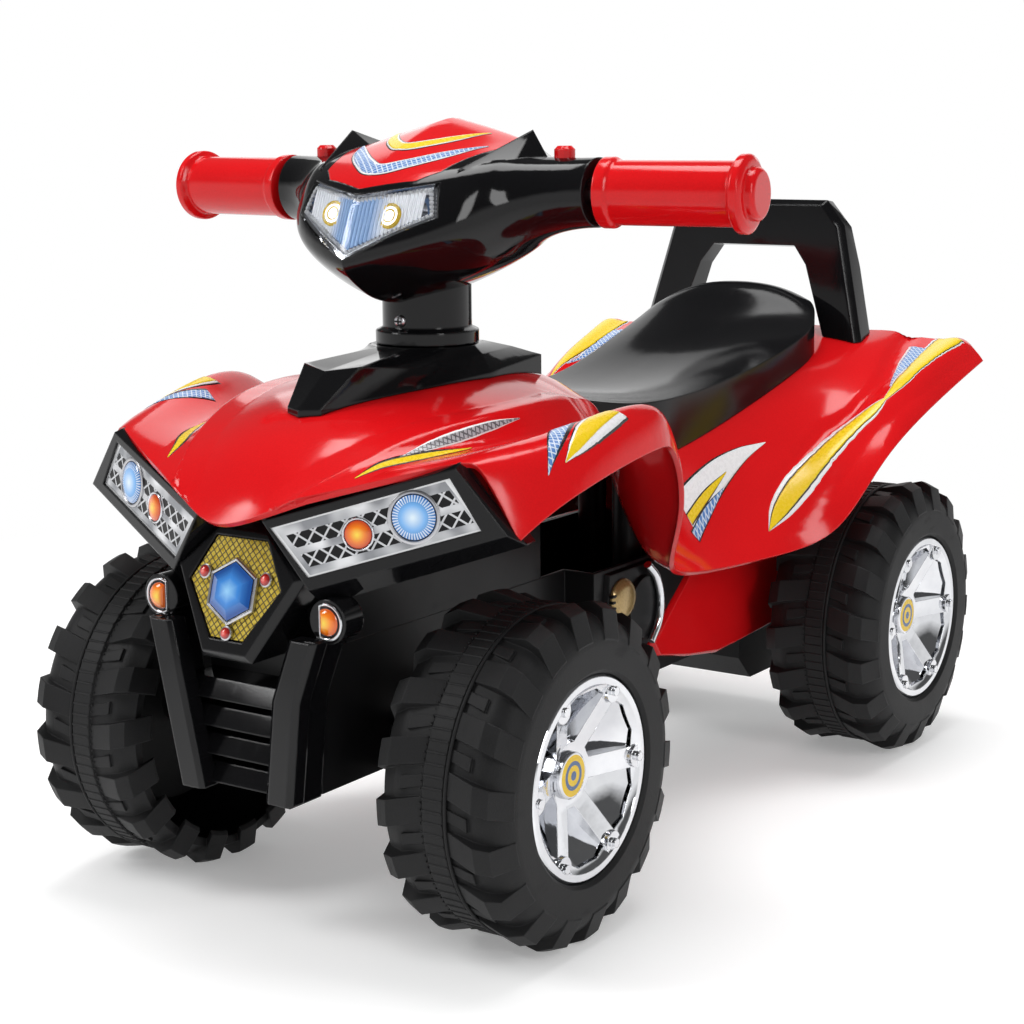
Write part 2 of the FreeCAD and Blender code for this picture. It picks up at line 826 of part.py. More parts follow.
panel_shares = ((0.163, -1.44, 0.40), (0.717, -1.275, 0.67), (0.286, -1.415, 0.17))
frame_shares = ((-0.02, 1.28), (1.10, 1.26), (1.09, -0.46), (-0.06, -0.55))
face_shares = ((0.0, 1.0), (1.0, 1.0), (0.96, 0.0), (0.0, 0.0))
rim_shares = ((-0.01, 1.16), (1.06, 1.14), (1.06, -0.20), (-0.04, -0.22))


def lamp_axes():
    corner, far, low = [at(*shares) for shares in panel_shares]
    along = far - corner
    rise = corner - low
    return low, along, rise, rise.cross(along).normalize()


def lamp_points(shares, depth):
    low, along, rise, normal = lamp_axes()
    return [low + along * a + rise * b + normal * depth for a, b in shares]


def build_lamps(neighbours):
    inward = lamp_axes()[3]
    frame = lamp_points(frame_shares, s.lamp_bevel)
    housing = faceted_loft(frame, lamp_points(rim_shares, 0))
    housing = housing.fuse(prism(frame, inward * (s.lamp_depth - s.lamp_bevel)))
    recess = prism(lamp_points(face_shares, -s.lamp_bevel), inward * (s.lamp_bevel + s.lamp_recess))
    housing = housing.cut(recess)
    panel = prism(lamp_points(face_shares, s.lamp_recess - s.lamp_panel), inward * s.lamp_panel)
    left = largest(housing.common(below_front(housing)).cut(neighbours))
    shaped("lamp_housing_left", left)
    shaped("lamp_housing_right", reflected(left))
    panel = panel.cut(neighbours)
    shaped("lamp_panel_left", panel)
    shaped("lamp_panel_right", reflected(panel))


def below_front(housing):
    reach = housing.BoundBox
    front = block(Vector(reach.XMin, reach.YMin - s.overrun, 0), Vector(reach.XMax, reach.YMax, s.sky))
    cover = solid_between(flat_grid(shell_net, s.sky), offset_grid(inner_net, -s.seating))
    return front.cut(cover)


# Grille block with its raised hexagonal badge, on the front wall of the tub

tub_front_y = front_y - s.tub_reach
grille_shares = ((0.52, 1.0), (1.26, 0.30), (0.48, -1.0))
badge_shares = ((0.50, 0.78), (0.90, 0.10), (0.32, -0.70))
grille_level_share = 0.06
grille_face_share = 0.88
grille_lean_share = 0.3
badge_plate_share = 0.97


def grille_points(shares, scale, y, lean):
    middle = tyre_top + grille_level_share * s.body_rise
    half = []
    for x, z in shares:
        rise = z * scale * s.grille_half_height
        half.append(Vector(x * scale * s.grille_half_height, y + lean * rise, middle + rise))
    return half + mirror_x(half)


def build_grille():
    front = tub_front_y - s.grille_depth
    lean = grille_lean_share
    rim = grille_points(grille_shares, 1, front + s.grille_bevel, lean)
    body = faceted_loft(grille_points(grille_shares, 1, tub_front_y, 0), rim)
    body = body.fuse(faceted_loft(rim, grille_points(grille_shares, grille_face_share, front, lean)))
    recess = grille_points(badge_shares, 1, front - s.grille_bevel, lean)
    body = body.cut(prism(recess, Vector(0, s.grille_bevel + s.badge_recess, 0)))
    shaped("grille_housing", body)
    plate = grille_points(badge_shares, badge_plate_share, front + s.badge_recess - s.badge_plate, lean)
    shaped("badge_plate", prism(plate, Vector(0, s.badge_plate, 0)))
    return body


# Front guard: two bent posts with louvre slats between them and a round lamp head on each post

post_shares = ((0.21, 0.0, -0.98), (0.267, 1.0, -0.43), (0.333, 0.0, -0.12))
blinker_shares = (0.36, 1.0, -0.035)
slat_shares = ((0.0, 0.0), (0.0, 1.0), (-0.75, 0.80), (-1.0, -0.25))


def guard_at(x_share, bow_share, z_share):
    place = at(x_share, 0, z_share)
    place.y = tub_front_y - s.post_depth / 2 - bow_share * s.post_bow
    return place


def guard_post():
    rings = []
    for shares in post_shares:
        middle = guard_at(*shares)
        offsets = ((-1, -1), (1, -1), (1, 1), (-1, 1))
        rings.append([middle + Vector(a * s.post_width / 2, b * s.post_depth / 2, 0) for a, b in offsets])
    lower = faceted_loft(rings[0], rings[1])
    return lower.fuse(faceted_loft(rings[1], rings[2]))


def build_guard():
    pieces = []
    head = guard_at(*blinker_shares)
    for side in (1, -1):
        post = guard_post()
        drum = Part.makeCylinder(s.blinker_radius, s.blinker_depth, head, Vector(0, 1, 0))
        post = post.fuse(drum)
        pieces.append(post if side > 0 else reflected(post))
    first = axle_z - s.tub_drop + s.slat_height / 2
    for index in range(int(s.slat_count)):
        level = first + index * s.slat_pitch
        outline = [Vector(-s.slat_half, tub_front_y + y * s.slat_reach, level + z * s.slat_height)
                   for y, z in slat_shares]
        pieces.append(prism(outline, Vector(2 * s.slat_half, 0, 0)))
    guard = pieces[0].fuse(pieces[1:])
    shaped("front_guard", guard)
    build_blinkers(head)
    return guard


def build_blinkers(head):
    front = head - Vector(0, s.blinker_crown, 0)
    lens = Part.makeCylinder(s.blinker_lens, s.blinker_crown, front, Vector(0, 1, 0))
    radius = (s.blinker_lens ** 2 + s.blinker_crown ** 2) / (2 * s.blinker_crown)
    lens = lens.common(Part.makeSphere(radius, head + Vector(0, radius - s.blinker_crown, 0)))
    shaped("blinker_left", lens)
    shaped("blinker_right", reflected(lens))


shell_solid = build_shell()
build_seat()
build_hoop()
grille_block = build_grille()
guard_solid = build_guard()
build_lamps([shell_solid, grille_block, guard_solid])


# Chassis: an open tub with a narrow nose, a wide middle and a bridge that carries the column bush

def build_chassis():
    nose = ("-front_tub_half", front_axle_text + " - tub_reach", floor_text)
    step = front_axle_text + " + tub_step"
    tail = rear_axle_text + " - housing_reach"
    nose_length = "tub_reach + tub_step + tub_wall"
    wide_length = "(%s) - (%s)" % (tail, step)
    outer = [
        box("nose_outer", nose, ("2 * front_tub_half", nose_length, "tub_height")),
        box("wide_outer", ("-rear_tub_half", step, floor_text),
            ("2 * rear_tub_half", wide_length, "tub_height")),
    ]
    hollow_floor = floor_text + " + tub_wall"
    hollows = [
        box("nose_hollow",
            ("tub_wall - front_tub_half", front_axle_text + " - tub_reach + tub_wall", hollow_floor),
            ("2 * front_tub_half - 2 * tub_wall", nose_length, "tub_height")),
        box("wide_hollow", ("tub_wall - rear_tub_half", step + " + tub_wall", hollow_floor),
            ("2 * rear_tub_half - 2 * tub_wall", wide_length + " - 2 * tub_wall", "tub_height")),
    ]
    tub = cut("tub", fuse("tub_outer", outer), hollows)
    bridge = box("bridge", ("-front_tub_half + tub_wall / 2", column_text + " - bridge_half",
                            tub_top_text + " - bush_length"),
                 ("2 * front_tub_half - tub_wall", "2 * bridge_half", "bush_length"))
    frame = fuse("tub_frame", [tub, bridge])
    sweep = "2 * front_tub_half + 2 * overrun"
    edge = "-front_tub_half - overrun"
    tools = [
        box("beam_notch", (edge, front_axle_text + " - beam_depth / 2 - side_clearance",
                           floor_text + " - beam_height"),
            (sweep, "beam_depth + 2 * side_clearance",
             beam_top_text + " - (" + floor_text + ") + beam_height")),
        box("tie_slit", (edge, front_axle_text + " + knuckle_arm - tie_half - slit_room",
                         tie_text + " - slit_room / 2"),
            (sweep, "2 * tie_half + 2 * slit_room", "tie_thickness + slit_room")),
        cylinder("bush_hole", ("0", column_text, floor_text + " + tub_wall + bush_length"), "bush_radius",
                 "tub_height"),
    ]
    node(cut("chassis", frame, tools), "chassis")


def build_bush():
    body = new_body("column_bush")
    low = tub_top_text + " - bush_length"
    revolve(body, polygon_sketch(body, "XZ_Plane", [
        ("rod_radius + run_clearance", low),
        ("bush_radius", low),
        ("bush_radius", tub_top_text),
        ("bush_radius + bush_flange", tub_top_text),
        ("bush_radius + bush_flange", tub_top_text + " + bush_flange"),
        ("rod_radius + run_clearance", tub_top_text + " + bush_flange"),
    ]))
    place(body, "0", column_text)


# Housings between the tub and the shell

post_plan_shares = ((0.24, 0.12), (0.24, 0.50))


def build_housings():
    tub_top = amount(tub_top_text)
    outer = block(Vector(-s.front_tub_half, tub_front_y + s.nose_setback, tub_top),
                  Vector(s.front_tub_half, front_y + s.nose_length, s.sky))
    wall = Vector(s.tub_wall, s.tub_wall, -s.overrun)
    inner = block(Vector(-s.front_tub_half, tub_front_y + s.nose_setback, tub_top) + wall,
                  Vector(s.front_tub_half, front_y + s.nose_length, s.sky) - wall)
    shaped("front_housing", outer.cut(inner).common(below_shell))
    floor = axle_z - s.tub_drop + s.tub_wall
    posts = []
    for x, y in post_plan_shares:
        for side in (1, -1):
            spot = at(side * x, y, 0)
            posts.append(upright(spot.x, spot.y, s.post_radius, floor, s.sky).common(below_shell))
    shaped("shell_posts", Part.makeCompound(posts))
    housing_top = axle_z + s.housing_rise
    front = rear_y - s.housing_reach
    back = rear_y + s.housing_tail
    outer = block(Vector(-s.tail_half, front, housing_top), Vector(s.tail_half, back, s.sky))
    inner = block(Vector(s.shell_wall - s.tail_half, front - s.overrun, 0),
                  Vector(s.tail_half - s.shell_wall, back - s.shell_wall, s.sky))
    shaped("tail_panel", outer.cut(inner).common(below_shell))


def build_rear_axle():
    body = new_body("rear_axle_housing")
    front = rear_axle_text + " - housing_reach"
    back = rear_axle_text + " + housing_tail"
    low = "wheel_radius - housing_drop"
    high = "wheel_radius + housing_rise"
    pad(body, polygon_sketch(body, "YZ_Plane", [
        (front, low + " + 2 * housing_edge"),
        (front + " + 2 * housing_edge", low),
        (back + " - 2 * housing_edge", low),
        (back, low + " + 2 * housing_edge"),
        (back, high),
        (front, high),
    ], "-housing_half"), "2 * housing_half")
    inner = "housing_half - tub_wall"
    pocket(body, polygon_sketch(body, "XY_Plane", [
        ("-(%s)" % inner, front + " + tub_wall"),
        (inner, front + " + tub_wall"),
        (inner, back + " - tub_wall"),
        ("-(%s)" % inner, back + " - tub_wall"),
    ], low + " + 2 * housing_edge"), "sky")
    bore = circle_sketch(body, "YZ_Plane", (rear_axle_text, "wheel_radius"),
                         "axle_radius + run_clearance", "-sky")
    pocket(body, bore, "2 * sky")
    along = Rotation(Vector(0, 1, 0), 90)
    tip = "track_half + %s + side_clearance + nut_height + axle_stub" % rim_floor
    end = ("-(%s)" % tip, rear_axle_text, "wheel_radius")
    node(cylinder("rear_axle", end, "axle_radius", "2 * (%s)" % tip, along), "rear_axle")
    spacers = []
    for side, foot in (("left", "housing_half"), ("right", "-hub_seat")):
        seat = (foot, rear_axle_text, "wheel_radius")
        sleeve = cylinder("spacer_sleeve_" + side, seat, "boss_radius", "hub_seat - housing_half", along)
        bore = cylinder("spacer_bore_" + side, seat, "axle_radius + run_clearance",
                        "hub_seat - housing_half", along)
        spacers.append(cut("spacer_" + side, sleeve, [bore]))
    node(fuse("rear_spacers", spacers), "rear_spacers")


hex_sides = 6


def nut_solid(side, y):
    inner = s.track_half + amount(rim_floor) + s.side_clearance
    corners = []
    for index in range(hex_sides):
        turn = math.radians(360 / hex_sides * index)
        across, rise = s.nut_radius * math.cos(turn), s.nut_radius * math.sin(turn)
        corners.append(Vector(side * inner, y + across, axle_z + rise))
    nut = prism(corners, Vector(side * s.nut_height, 0, 0))
    bore = Part.makeCylinder(s.axle_radius + s.run_clearance, s.tyre_width, Vector(side * inner, y, axle_z),
                             Vector(side, 0, 0))
    return nut.cut(bore)


def build_nuts():
    shaped("rear_axle_nuts", Part.makeCompound([nut_solid(side, rear_y) for side in (1, -1)]))
    shaped("front_nut_left", nut_solid(1, front_y))
    shaped("front_nut_right", nut_solid(-1, front_y))


# Side panels and engine covers on the tub

side_panel_shares = (
    (0.065, -0.77), (0.10, -0.86), (0.28, -0.94), (0.47, -1.0), (0.60, -0.99),
    (0.91, -0.95), (0.91, -0.24), (0.34, -0.24), (0.29, -0.40),
)
engine_shares = (
    (-0.20, -0.70), (-0.17, -0.26), (0.27, -0.26), (0.28, -0.42), (0.05, -0.78), (-0.16, -0.78),
)
engine_cover_shares = (0.02, -0.52)
engine_radius_share = 0.20
fin_start_shares = (-0.17, -0.40)


def side_outline(shares, x, inset):
    points = [at(0, y, z) for y, z in shares]
    centre = sum(points, Vector()) * (1 / len(points))
    moved = []
    for point in points:
        inward = centre - point
        moved.append(point + inward.normalize() * inset + Vector(x, 0, 0))
    return moved


def build_sides():
    wall = s.rear_tub_half
    bevel = s.panel_thickness / 2
    rim = side_outline(side_panel_shares, wall + bevel, 0)
    panel = faceted_loft(side_outline(side_panel_shares, wall, 0), rim)
    panel = panel.fuse(faceted_loft(rim, side_outline(side_panel_shares, wall + s.panel_thickness, bevel)))
    shaped("side_panel_left", panel)
    shaped("side_panel_right", reflected(panel))
    face = side_outline(engine_shares, wall + s.engine_thickness, s.bead)
    engine = faceted_loft(side_outline(engine_shares, wall, 0), face)
    cover = at(0, *engine_cover_shares) + Vector(wall, 0, 0)
    radius = engine_radius_share * s.body_rise
    boss = Part.makeCone(radius, radius - s.bead, 2 * s.engine_thickness, cover, Vector(1, 0, 0))
    engine = engine.fuse(boss)
    fins = []
    first = at(0, *fin_start_shares) + Vector(wall, 0, 0)
    for index in range(int(s.fin_count)):
        low = first + Vector(0, 0, -index * s.fin_pitch / 2)
        high = low + Vector(2 * s.engine_thickness, 2 * s.fin_pitch, s.fin_thickness / 2)
        fins.append(block(low, high))
    engine = engine.fuse(fins)
    engine = engine.cut(panel)
    shaped("engine_panel_left", engine)
    shaped("engine_panel_right", reflected(engine))


# Steering linkage: axle beam, kingpins, knuckles with stub axles, and the slotted tie bar

def build_beam():
    low = "wheel_radius - beam_height / 2"
    parts = [box("beam_bar", ("-kingpin_half", front_axle_text + " - beam_depth / 2", low),
                 ("2 * kingpin_half", "beam_depth", "beam_height"))]
    bores = []
    pins = []
    pin_low = low + " - side_clearance - knuckle_plate"
    pin_length = "beam_height + 2 * side_clearance + 2 * knuckle_plate"
    for side, x in (("left", "kingpin_half"), ("right", "-kingpin_half")):
        parts.append(cylinder("beam_boss_" + side, (x, front_axle_text, low), "boss_radius", "beam_height"))
        bores.append(cylinder("beam_bore_" + side, (x, front_axle_text, low),
                              "kingpin_radius + run_clearance", "beam_height"))
        shank = cylinder("kingpin_shank_" + side, (x, front_axle_text, pin_low),
                         "kingpin_radius", pin_length)
        head_foot = (x, front_axle_text, link_text + " + side_clearance")
        head = cylinder("kingpin_head_" + side, head_foot, "kingpin_head", "screw_head")
        neck = cylinder("kingpin_neck_" + side, (x, front_axle_text, link_text),
                        "kingpin_radius", "side_clearance")
        pins += [shank, neck, head]
    node(cut("front_axle_beam", fuse("beam_solid", parts), bores), "front_axle_beam")
    node(fuse("kingpins", pins), "kingpins")


def build_knuckles():
    body = new_body("knuckle_left")
    near = front_axle_text + " - knuckle_half"
    far = front_axle_text + " + knuckle_half"
    arm_end = front_axle_text + " + knuckle_arm + arm_half"
    inner = "kingpin_half - knuckle_half"
    plate_low = beam_top_text + " + side_clearance"
    low = "wheel_radius - beam_height / 2 - side_clearance - knuckle_plate"
    pad(body, polygon_sketch(body, "XY_Plane", [
        (inner, near),
        ("hub_seat", near),
        ("hub_seat", far),
        ("kingpin_half + arm_half", far + " + arm_half"),
        ("kingpin_half + arm_half", arm_end),
        ("kingpin_half - arm_half", arm_end),
        ("kingpin_half - arm_half", far),
        (inner, far),
    ], plate_low), "knuckle_plate")
    web = "kingpin_half + boss_radius + knuckle_gap"
    seat_edge = [("hub_seat", near), ("hub_seat", far)]
    cheek = polygon_sketch(body, "XY_Plane", [(web, near)] + seat_edge + [(web, far)], low)
    pad(body, cheek, "beam_height + 2 * side_clearance + 2 * knuckle_plate")
    foot = polygon_sketch(body, "XY_Plane", [(inner, near)] + seat_edge + [(inner, far)], low)
    pad(body, foot, "knuckle_plate")
    pin = ("kingpin_half", front_axle_text + " + knuckle_arm")
    pad(body, circle_sketch(body, "XY_Plane", pin, "link_pin_radius", plate_low),
        "knuckle_plate + 2 * side_clearance + 2 * tie_thickness")
    kingpin = ("kingpin_half", front_axle_text)
    pocket(body, circle_sketch(body, "XY_Plane", kingpin, "kingpin_radius + run_clearance"), "sky")
    bore = circle_sketch(body, "YZ_Plane", (front_axle_text, "wheel_radius"), "axle_radius + run_clearance")
    pocket(body, bore, "sky")
    mirrored("knuckle_right", body)
    along = Rotation(Vector(0, 1, 0), 90)
    tip = "track_half + %s + side_clearance + nut_height + axle_stub" % rim_floor
    stub = cylinder("stub_axle_left", (web, front_axle_text, "wheel_radius"), "axle_radius",
                    "%s - (%s)" % (tip, web), along)
    mirrored("stub_axle_right", node(stub, "stub_axle_left"))


def build_tie_bar():
    body = new_body("tie_bar")
    middle = front_axle_text + " + knuckle_arm"
    near = middle + " - tie_half"
    far = middle + " + tie_half"
    end = "kingpin_half + tie_half + arm_half"
    crank_y = column_text + " + crank"
    tongue = "rod_radius + tie_half"
    tongue_end = crank_y + " + rod_radius + tie_half"
    pad(body, polygon_sketch(body, "XY_Plane", [
        ("-(%s)" % end, near),
        (end, near),
        (end, far),
        (tongue, far),
        (tongue, tongue_end),
        ("-(%s)" % tongue, tongue_end),
        ("-(%s)" % tongue, far),
        ("-(%s)" % end, far),
    ], tie_text), "tie_thickness")
    room = "link_pin_radius + link_play"
    back_room = room.replace(" + ", " - ")
    for x in ("kingpin_half", "-kingpin_half"):
        pocket(body, polygon_sketch(body, "XY_Plane", [
            (x + " - " + back_room, middle + " - arm_swing - " + back_room),
            (x + " + " + room, middle + " - arm_swing - " + back_room),
            (x + " + " + room, middle + " + " + room),
            (x + " - " + back_room, middle + " + " + room),
        ], floor_text), "sky")
    room = "(rod_radius + link_play)"
    pocket(body, polygon_sketch(body, "XY_Plane", [
        ("-" + room, crank_y + " - crank_swing - " + room),
        (room, crank_y + " - crank_swing - " + room),
        (room, crank_y + " + " + room),
        ("-" + room, crank_y + " + " + room),
    ], floor_text), "sky")


def build_rod():
    pin_low = amount(tie_text) - s.link_play
    bend = amount(tie_text) + s.tie_thickness + s.crank_gap + s.rod_radius
    top = bar_z - s.bar_radius - s.rod_head
    corner = Vector(0, column_y, bend)
    elbow = corner + Vector(0, s.crank, 0)
    rod = upright(0, column_y, s.rod_radius, bend, top)
    rod = rod.fuse([
        Part.makeSphere(s.rod_radius, corner),
        Part.makeCylinder(s.rod_radius, s.crank, corner, Vector(0, 1, 0)),
        Part.makeSphere(s.rod_radius, elbow),
        upright(0, elbow.y, s.rod_radius, pin_low, bend),
    ])
    shaped("steering_rod", rod)


build_chassis()
build_bush()
build_housings()
build_rear_axle()
build_nuts()
build_sides()
build_beam()
build_knuckles()
build_tie_bar()
build_rod()


# Steering base on the hood and the column that turns in it

base_shares = ((0.0, -0.92), (0.09, -0.88), (0.26, -0.39), (0.36, -0.02), (0.35, 0.40))
base_turns = (-90, -72, -35, 0, 50)
base_ridge_shares = (
    (0.0, -0.74, 1.065), (0.15, -0.69, 1.09), (0.236, -0.27, 1.04),
    (0.308, -0.01, 1.085), (0.258, 0.30, 1.09),
)
base_rim_shares = (0.89, 1.04)


def base_point(x_share, y_share):
    front, rear = base_rim_shares
    first, last = base_shares[0][1], base_shares[-1][1]
    level = front + (rear - front) * (y_share - first) / (last - first)
    return Vector(x_share * s.base_reach, column_y + y_share * s.base_reach, tyre_top + level * s.body_rise)


def build_base():
    top = tyre_top + s.base_top_share * s.body_rise
    rim = both_halves([base_point(x, y) for x, y in base_shares])
    foot = [Vector(point.x, point.y, tyre_top) for point in rim]
    radius = s.collar_radius + s.base_rim
    ring = []
    for turn in base_turns:
        angle = math.radians(turn)
        ring.append(Vector(radius * math.cos(angle), column_y + radius * math.sin(angle), top))
    ring[0].x = 0
    ring = both_halves(ring)
    ridge = both_halves([
        Vector(x * s.base_reach, column_y + y * s.base_reach, tyre_top + z * s.body_rise)
        for x, y, z in base_ridge_shares
    ])
    base = faceted_loft(foot, rim, ridge, ring)
    base = base.common(above_shell)
    base = base.cut(upright(0, column_y, s.spigot_radius + s.run_clearance, tyre_top, s.sky))
    shaped("steering_base", largest(base))


def column_foot():
    return tyre_top + s.base_top_share * s.body_rise + s.side_clearance


def build_column():
    body = new_body("steering_column")
    foot = "2 * wheel_radius + base_top_share * body_rise + side_clearance"
    top = "2 * wheel_radius + bar_rise - column_top"
    bore = "rod_radius + run_clearance"
    revolve(body, polygon_sketch(body, "XZ_Plane", [
        (bore, foot + " - spigot_length"),
        ("spigot_radius", foot + " - spigot_length"),
        ("spigot_radius", foot),
        ("collar_radius", foot),
        ("collar_radius", foot + " + collar_height"),
        ("column_radius", foot + " + collar_height + bead"),
        ("column_radius", top),
        (bore, top),
    ]))
    place(body, "0", column_text)
    level = column_foot() + s.collar_height + s.screw_rise
    front = Vector(0, column_y - s.column_radius - s.screw_head, level)
    head = Part.makeCylinder(s.screw_radius, s.screw_head + s.screw_radius, front, Vector(0, 1, 0))
    shaped("column_screw", head.cut(upright(0, column_y, s.column_radius, tyre_top, s.sky)))


# Handlebar cowl: a lofted shell split into a lower part, a top cover and a clear front lens

cowl_middle_shares = (
    (-0.32, -0.57), (-0.58, -0.48), (-0.72, -0.35), (-0.68, -0.18), (-0.59, 0.01), (-0.32, 0.18),
    (0.12, 0.36), (0.40, 0.36), (0.58, 0.22), (0.60, -0.08), (0.46, -0.38), (0.18, -0.56),
)
cowl_shoulder_shares = (
    (-0.22, -0.45), (-0.46, -0.38), (-0.62, -0.25), (-0.58, -0.09), (-0.43, 0.10), (-0.12, 0.22),
    (0.14, 0.26), (0.34, 0.28), (0.48, 0.18), (0.52, -0.06), (0.42, -0.30), (0.13, -0.42),
)
cowl_arm_shares = ((0.14, -0.01, 0.22, 0.18), (0.15, 0.0, 0.18, 0.18))
cowl_station_shares = (0.0, 0.45, 0.72, 1.0)
lens_shares = ((0.0, 0.00), (0.40, 0.06), (0.44, -0.11), (0.0, -0.32))
lens_fit_share = 1.01
cover_shares = (
    (0.0, -0.57), (0.28, -0.46), (0.37, -0.36), (0.47, 0.0), (0.45, 0.30), (0.30, 0.50), (0.0, 0.60),
)
cover_level_share = 0.03
lens_depth_share = 0.28
ear_shares = (
    (0.45, -0.34, 0.12), (0.73, 0.10, 0.16), (0.46, 0.46, 0.20), (0.40, 0.10, 0.20), (0.60, 0.14, 0.32),
)
reflector_share = 1.14
bucket_share = 0.92
bucket_depth_share = 0.30
led_shares = (0.17, -0.09)


def cowl_at(x, y, z):
    return Vector(x * s.cowl_reach, column_y + y * s.cowl_reach, bar_z + z * s.cowl_reach)


def cowl_sections(inset):
    rows = [cowl_middle_shares, cowl_shoulder_shares]
    for y, z, depth, height in cowl_arm_shares:
        turns = [math.radians(-120 - 30 * index) for index in range(len(cowl_middle_shares))]
        rows.append([(y + depth * math.cos(turn), z + height * math.sin(turn)) for turn in turns])
    sections = []
    for station, row in zip(cowl_station_shares, rows):
        ring = [cowl_at(station, y, z) for y, z in row]
        moved = []
        for index, point in enumerate(ring):
            along = ring[index - 1] - ring[(index + 1) % len(ring)]
            moved.append(point + Vector(1, 0, 0).cross(along).normalize() * inset)
        sections.append(moved)
    return sections


def section_poles(ring):
    poles = list(ring)
    for step in range(len(ring)):
        blends = [(poles[index - 1] + poles[index] * 4 + poles[(index + 1) % len(ring)]) * (1 / 6)
                  for index in range(len(ring))]
        poles = [pole + point - blend for pole, point, blend in zip(poles, ring, blends)]
    return poles


def cowl_solid(inset, end):
    sections = cowl_sections(inset)
    sections[-1] = [point - Vector(end, 0, 0) for point in sections[-1]]
    rows = [section_poles(ring) for ring in sections]
    poles = [list(column) for column in zip(*rows)]
    knots = [float(index) for index in range(len(poles) + 1)]
    v_knots, v_mults = knots_for(len(rows), 2)
    surface = Part.BSplineSurface()
    surface.buildFromPolesMultsKnots(poles, [1] * len(knots), v_mults, knots, v_knots, True, False, 3, 2)
    faces = [surface.toShape()]
    for v in (v_knots[0], v_knots[-1]):
        faces.append(Part.Face(Part.Wire(surface.vIso(v).toShape())))
    return closed_solid(faces)


def front_prism(shares, scale, low_y, high_y):
    middle = sum(z for x, z in shares) / len(shares)
    half = [cowl_at(x * scale, 0, middle + (z - middle) * scale) for x, z in shares]
    outline = half + mirror_x(half[1:-1])
    outline = [Vector(point.x, low_y, point.z) for point in outline]
    return prism(outline, Vector(0, high_y - low_y, 0))


def whole(half):
    return half.fuse(reflected(half))


def ear_solid():
    front, outer, rear, inner, tip = [cowl_at(*shares) for shares in ear_shares]
    faces = [polygon_face(list(points)) for points in (
        (front, outer, tip), (outer, rear, tip), (rear, inner, tip), (inner, front, tip),
        (front, inner, outer), (outer, inner, rear))]
    return closed_solid(faces)


def bar_path():
    centre = Vector(0, column_y + s.bar_setback, bar_z)
    bend = centre + Vector(s.grip_start, 0, 0)
    turn = math.radians(s.grip_sweep)
    return centre, bend, Vector(math.cos(turn), math.sin(turn), 0)


def bar_solid(radius):
    centre, bend, along = bar_path()
    length = s.grip_length - s.grip_cap_width
    half = Part.makeCylinder(radius, s.grip_start, centre, Vector(1, 0, 0))
    half = half.fuse([Part.makeSphere(radius, bend), Part.makeCylinder(radius, length, bend, along)])
    return whole(half)


def build_cowl():
    outer = whole(cowl_solid(0, 0))
    inner = whole(cowl_solid(s.cowl_wall, s.cowl_wall))
    shell = outer.cut(inner)
    front = column_y - 2 * s.cowl_reach
    lens_back = column_y - lens_depth_share * s.cowl_reach
    lens_room = front_prism(lens_shares, 1, front, lens_back)
    lens_hole = front_prism(lens_shares, lens_fit_share, front, lens_back)
    cover_foot = Vector(0, column_y, bar_z + cover_level_share * s.cowl_reach)
    cover_half = [cover_foot + Vector(x, y, 0) * s.cowl_reach for x, y in cover_shares]
    cover_room = prism(cover_half + mirror_x(cover_half[1:-1]), Vector(0, 0, s.cowl_reach))
    ears = [ear_solid(), reflected(ear_solid())]
    lens = largest(shell.common(lens_room))
    body = shell.cut(lens_hole)
    cover = body.common(cover_room)
    trimmed = [ear.cut(inner).cut(cover_room).cut(lens_hole) for ear in ears]
    lower = largest(body.cut(cover_room)).fuse(trimmed)
    column = upright(0, column_y, s.column_radius + s.seating, tyre_top, bar_z)
    lower = lower.cut(column).cut(bar_solid(s.bar_radius + s.seating))
    buttons = []
    for side in (1, -1):
        spot = button_spot(side, outer, inner)
        buttons.append(spot)
        lower = lower.cut(upright(spot[0], spot[1], s.button_radius + s.side_clearance, bar_z, s.sky))
    shaped("cowl_lower", largest(lower))
    shaped("cowl_cover", largest(cover))
    shaped("headlamp_lens", lens)
    build_headlamp(front)
    for side, name in ((1, "left"), (-1, "right")):
        build_button("button_" + name, buttons[0 if side > 0 else 1])


def button_spot(side, outer, inner):
    x = side * s.button_half
    y = column_y + s.bar_setback
    ray = Part.makeLine(Vector(x, y, bar_z), Vector(x, y, s.sky))
    ceilings = []
    for turn in (0, 90, 180, 270):
        angle = math.radians(turn)
        foot = Vector(x + s.button_flange * math.cos(angle), y + s.button_flange * math.sin(angle), bar_z)
        rim = Part.makeLine(foot, Vector(foot.x, foot.y, s.sky))
        ceilings.append(inner.common(rim).BoundBox.ZMax)
    return x, y, outer.common(ray).BoundBox.ZMax, min(ceilings)


def build_button(label, spot):
    x, y, top, ceiling = spot
    foot = ceiling - s.side_clearance - s.button_foot
    assert foot - s.button_travel > bar_z + s.bar_radius, label + " has no room to travel"
    flange = upright(x, y, s.button_flange, foot, foot + s.button_foot)
    stem = upright(x, y, s.button_radius, foot, top + s.button_stand - s.bead)
    rim = Vector(x, y, top + s.button_stand - s.bead)
    crown = Part.makeCone(s.button_radius, s.button_radius - s.bead, s.bead, rim)
    shaped(label, flange.fuse([stem, crown]))


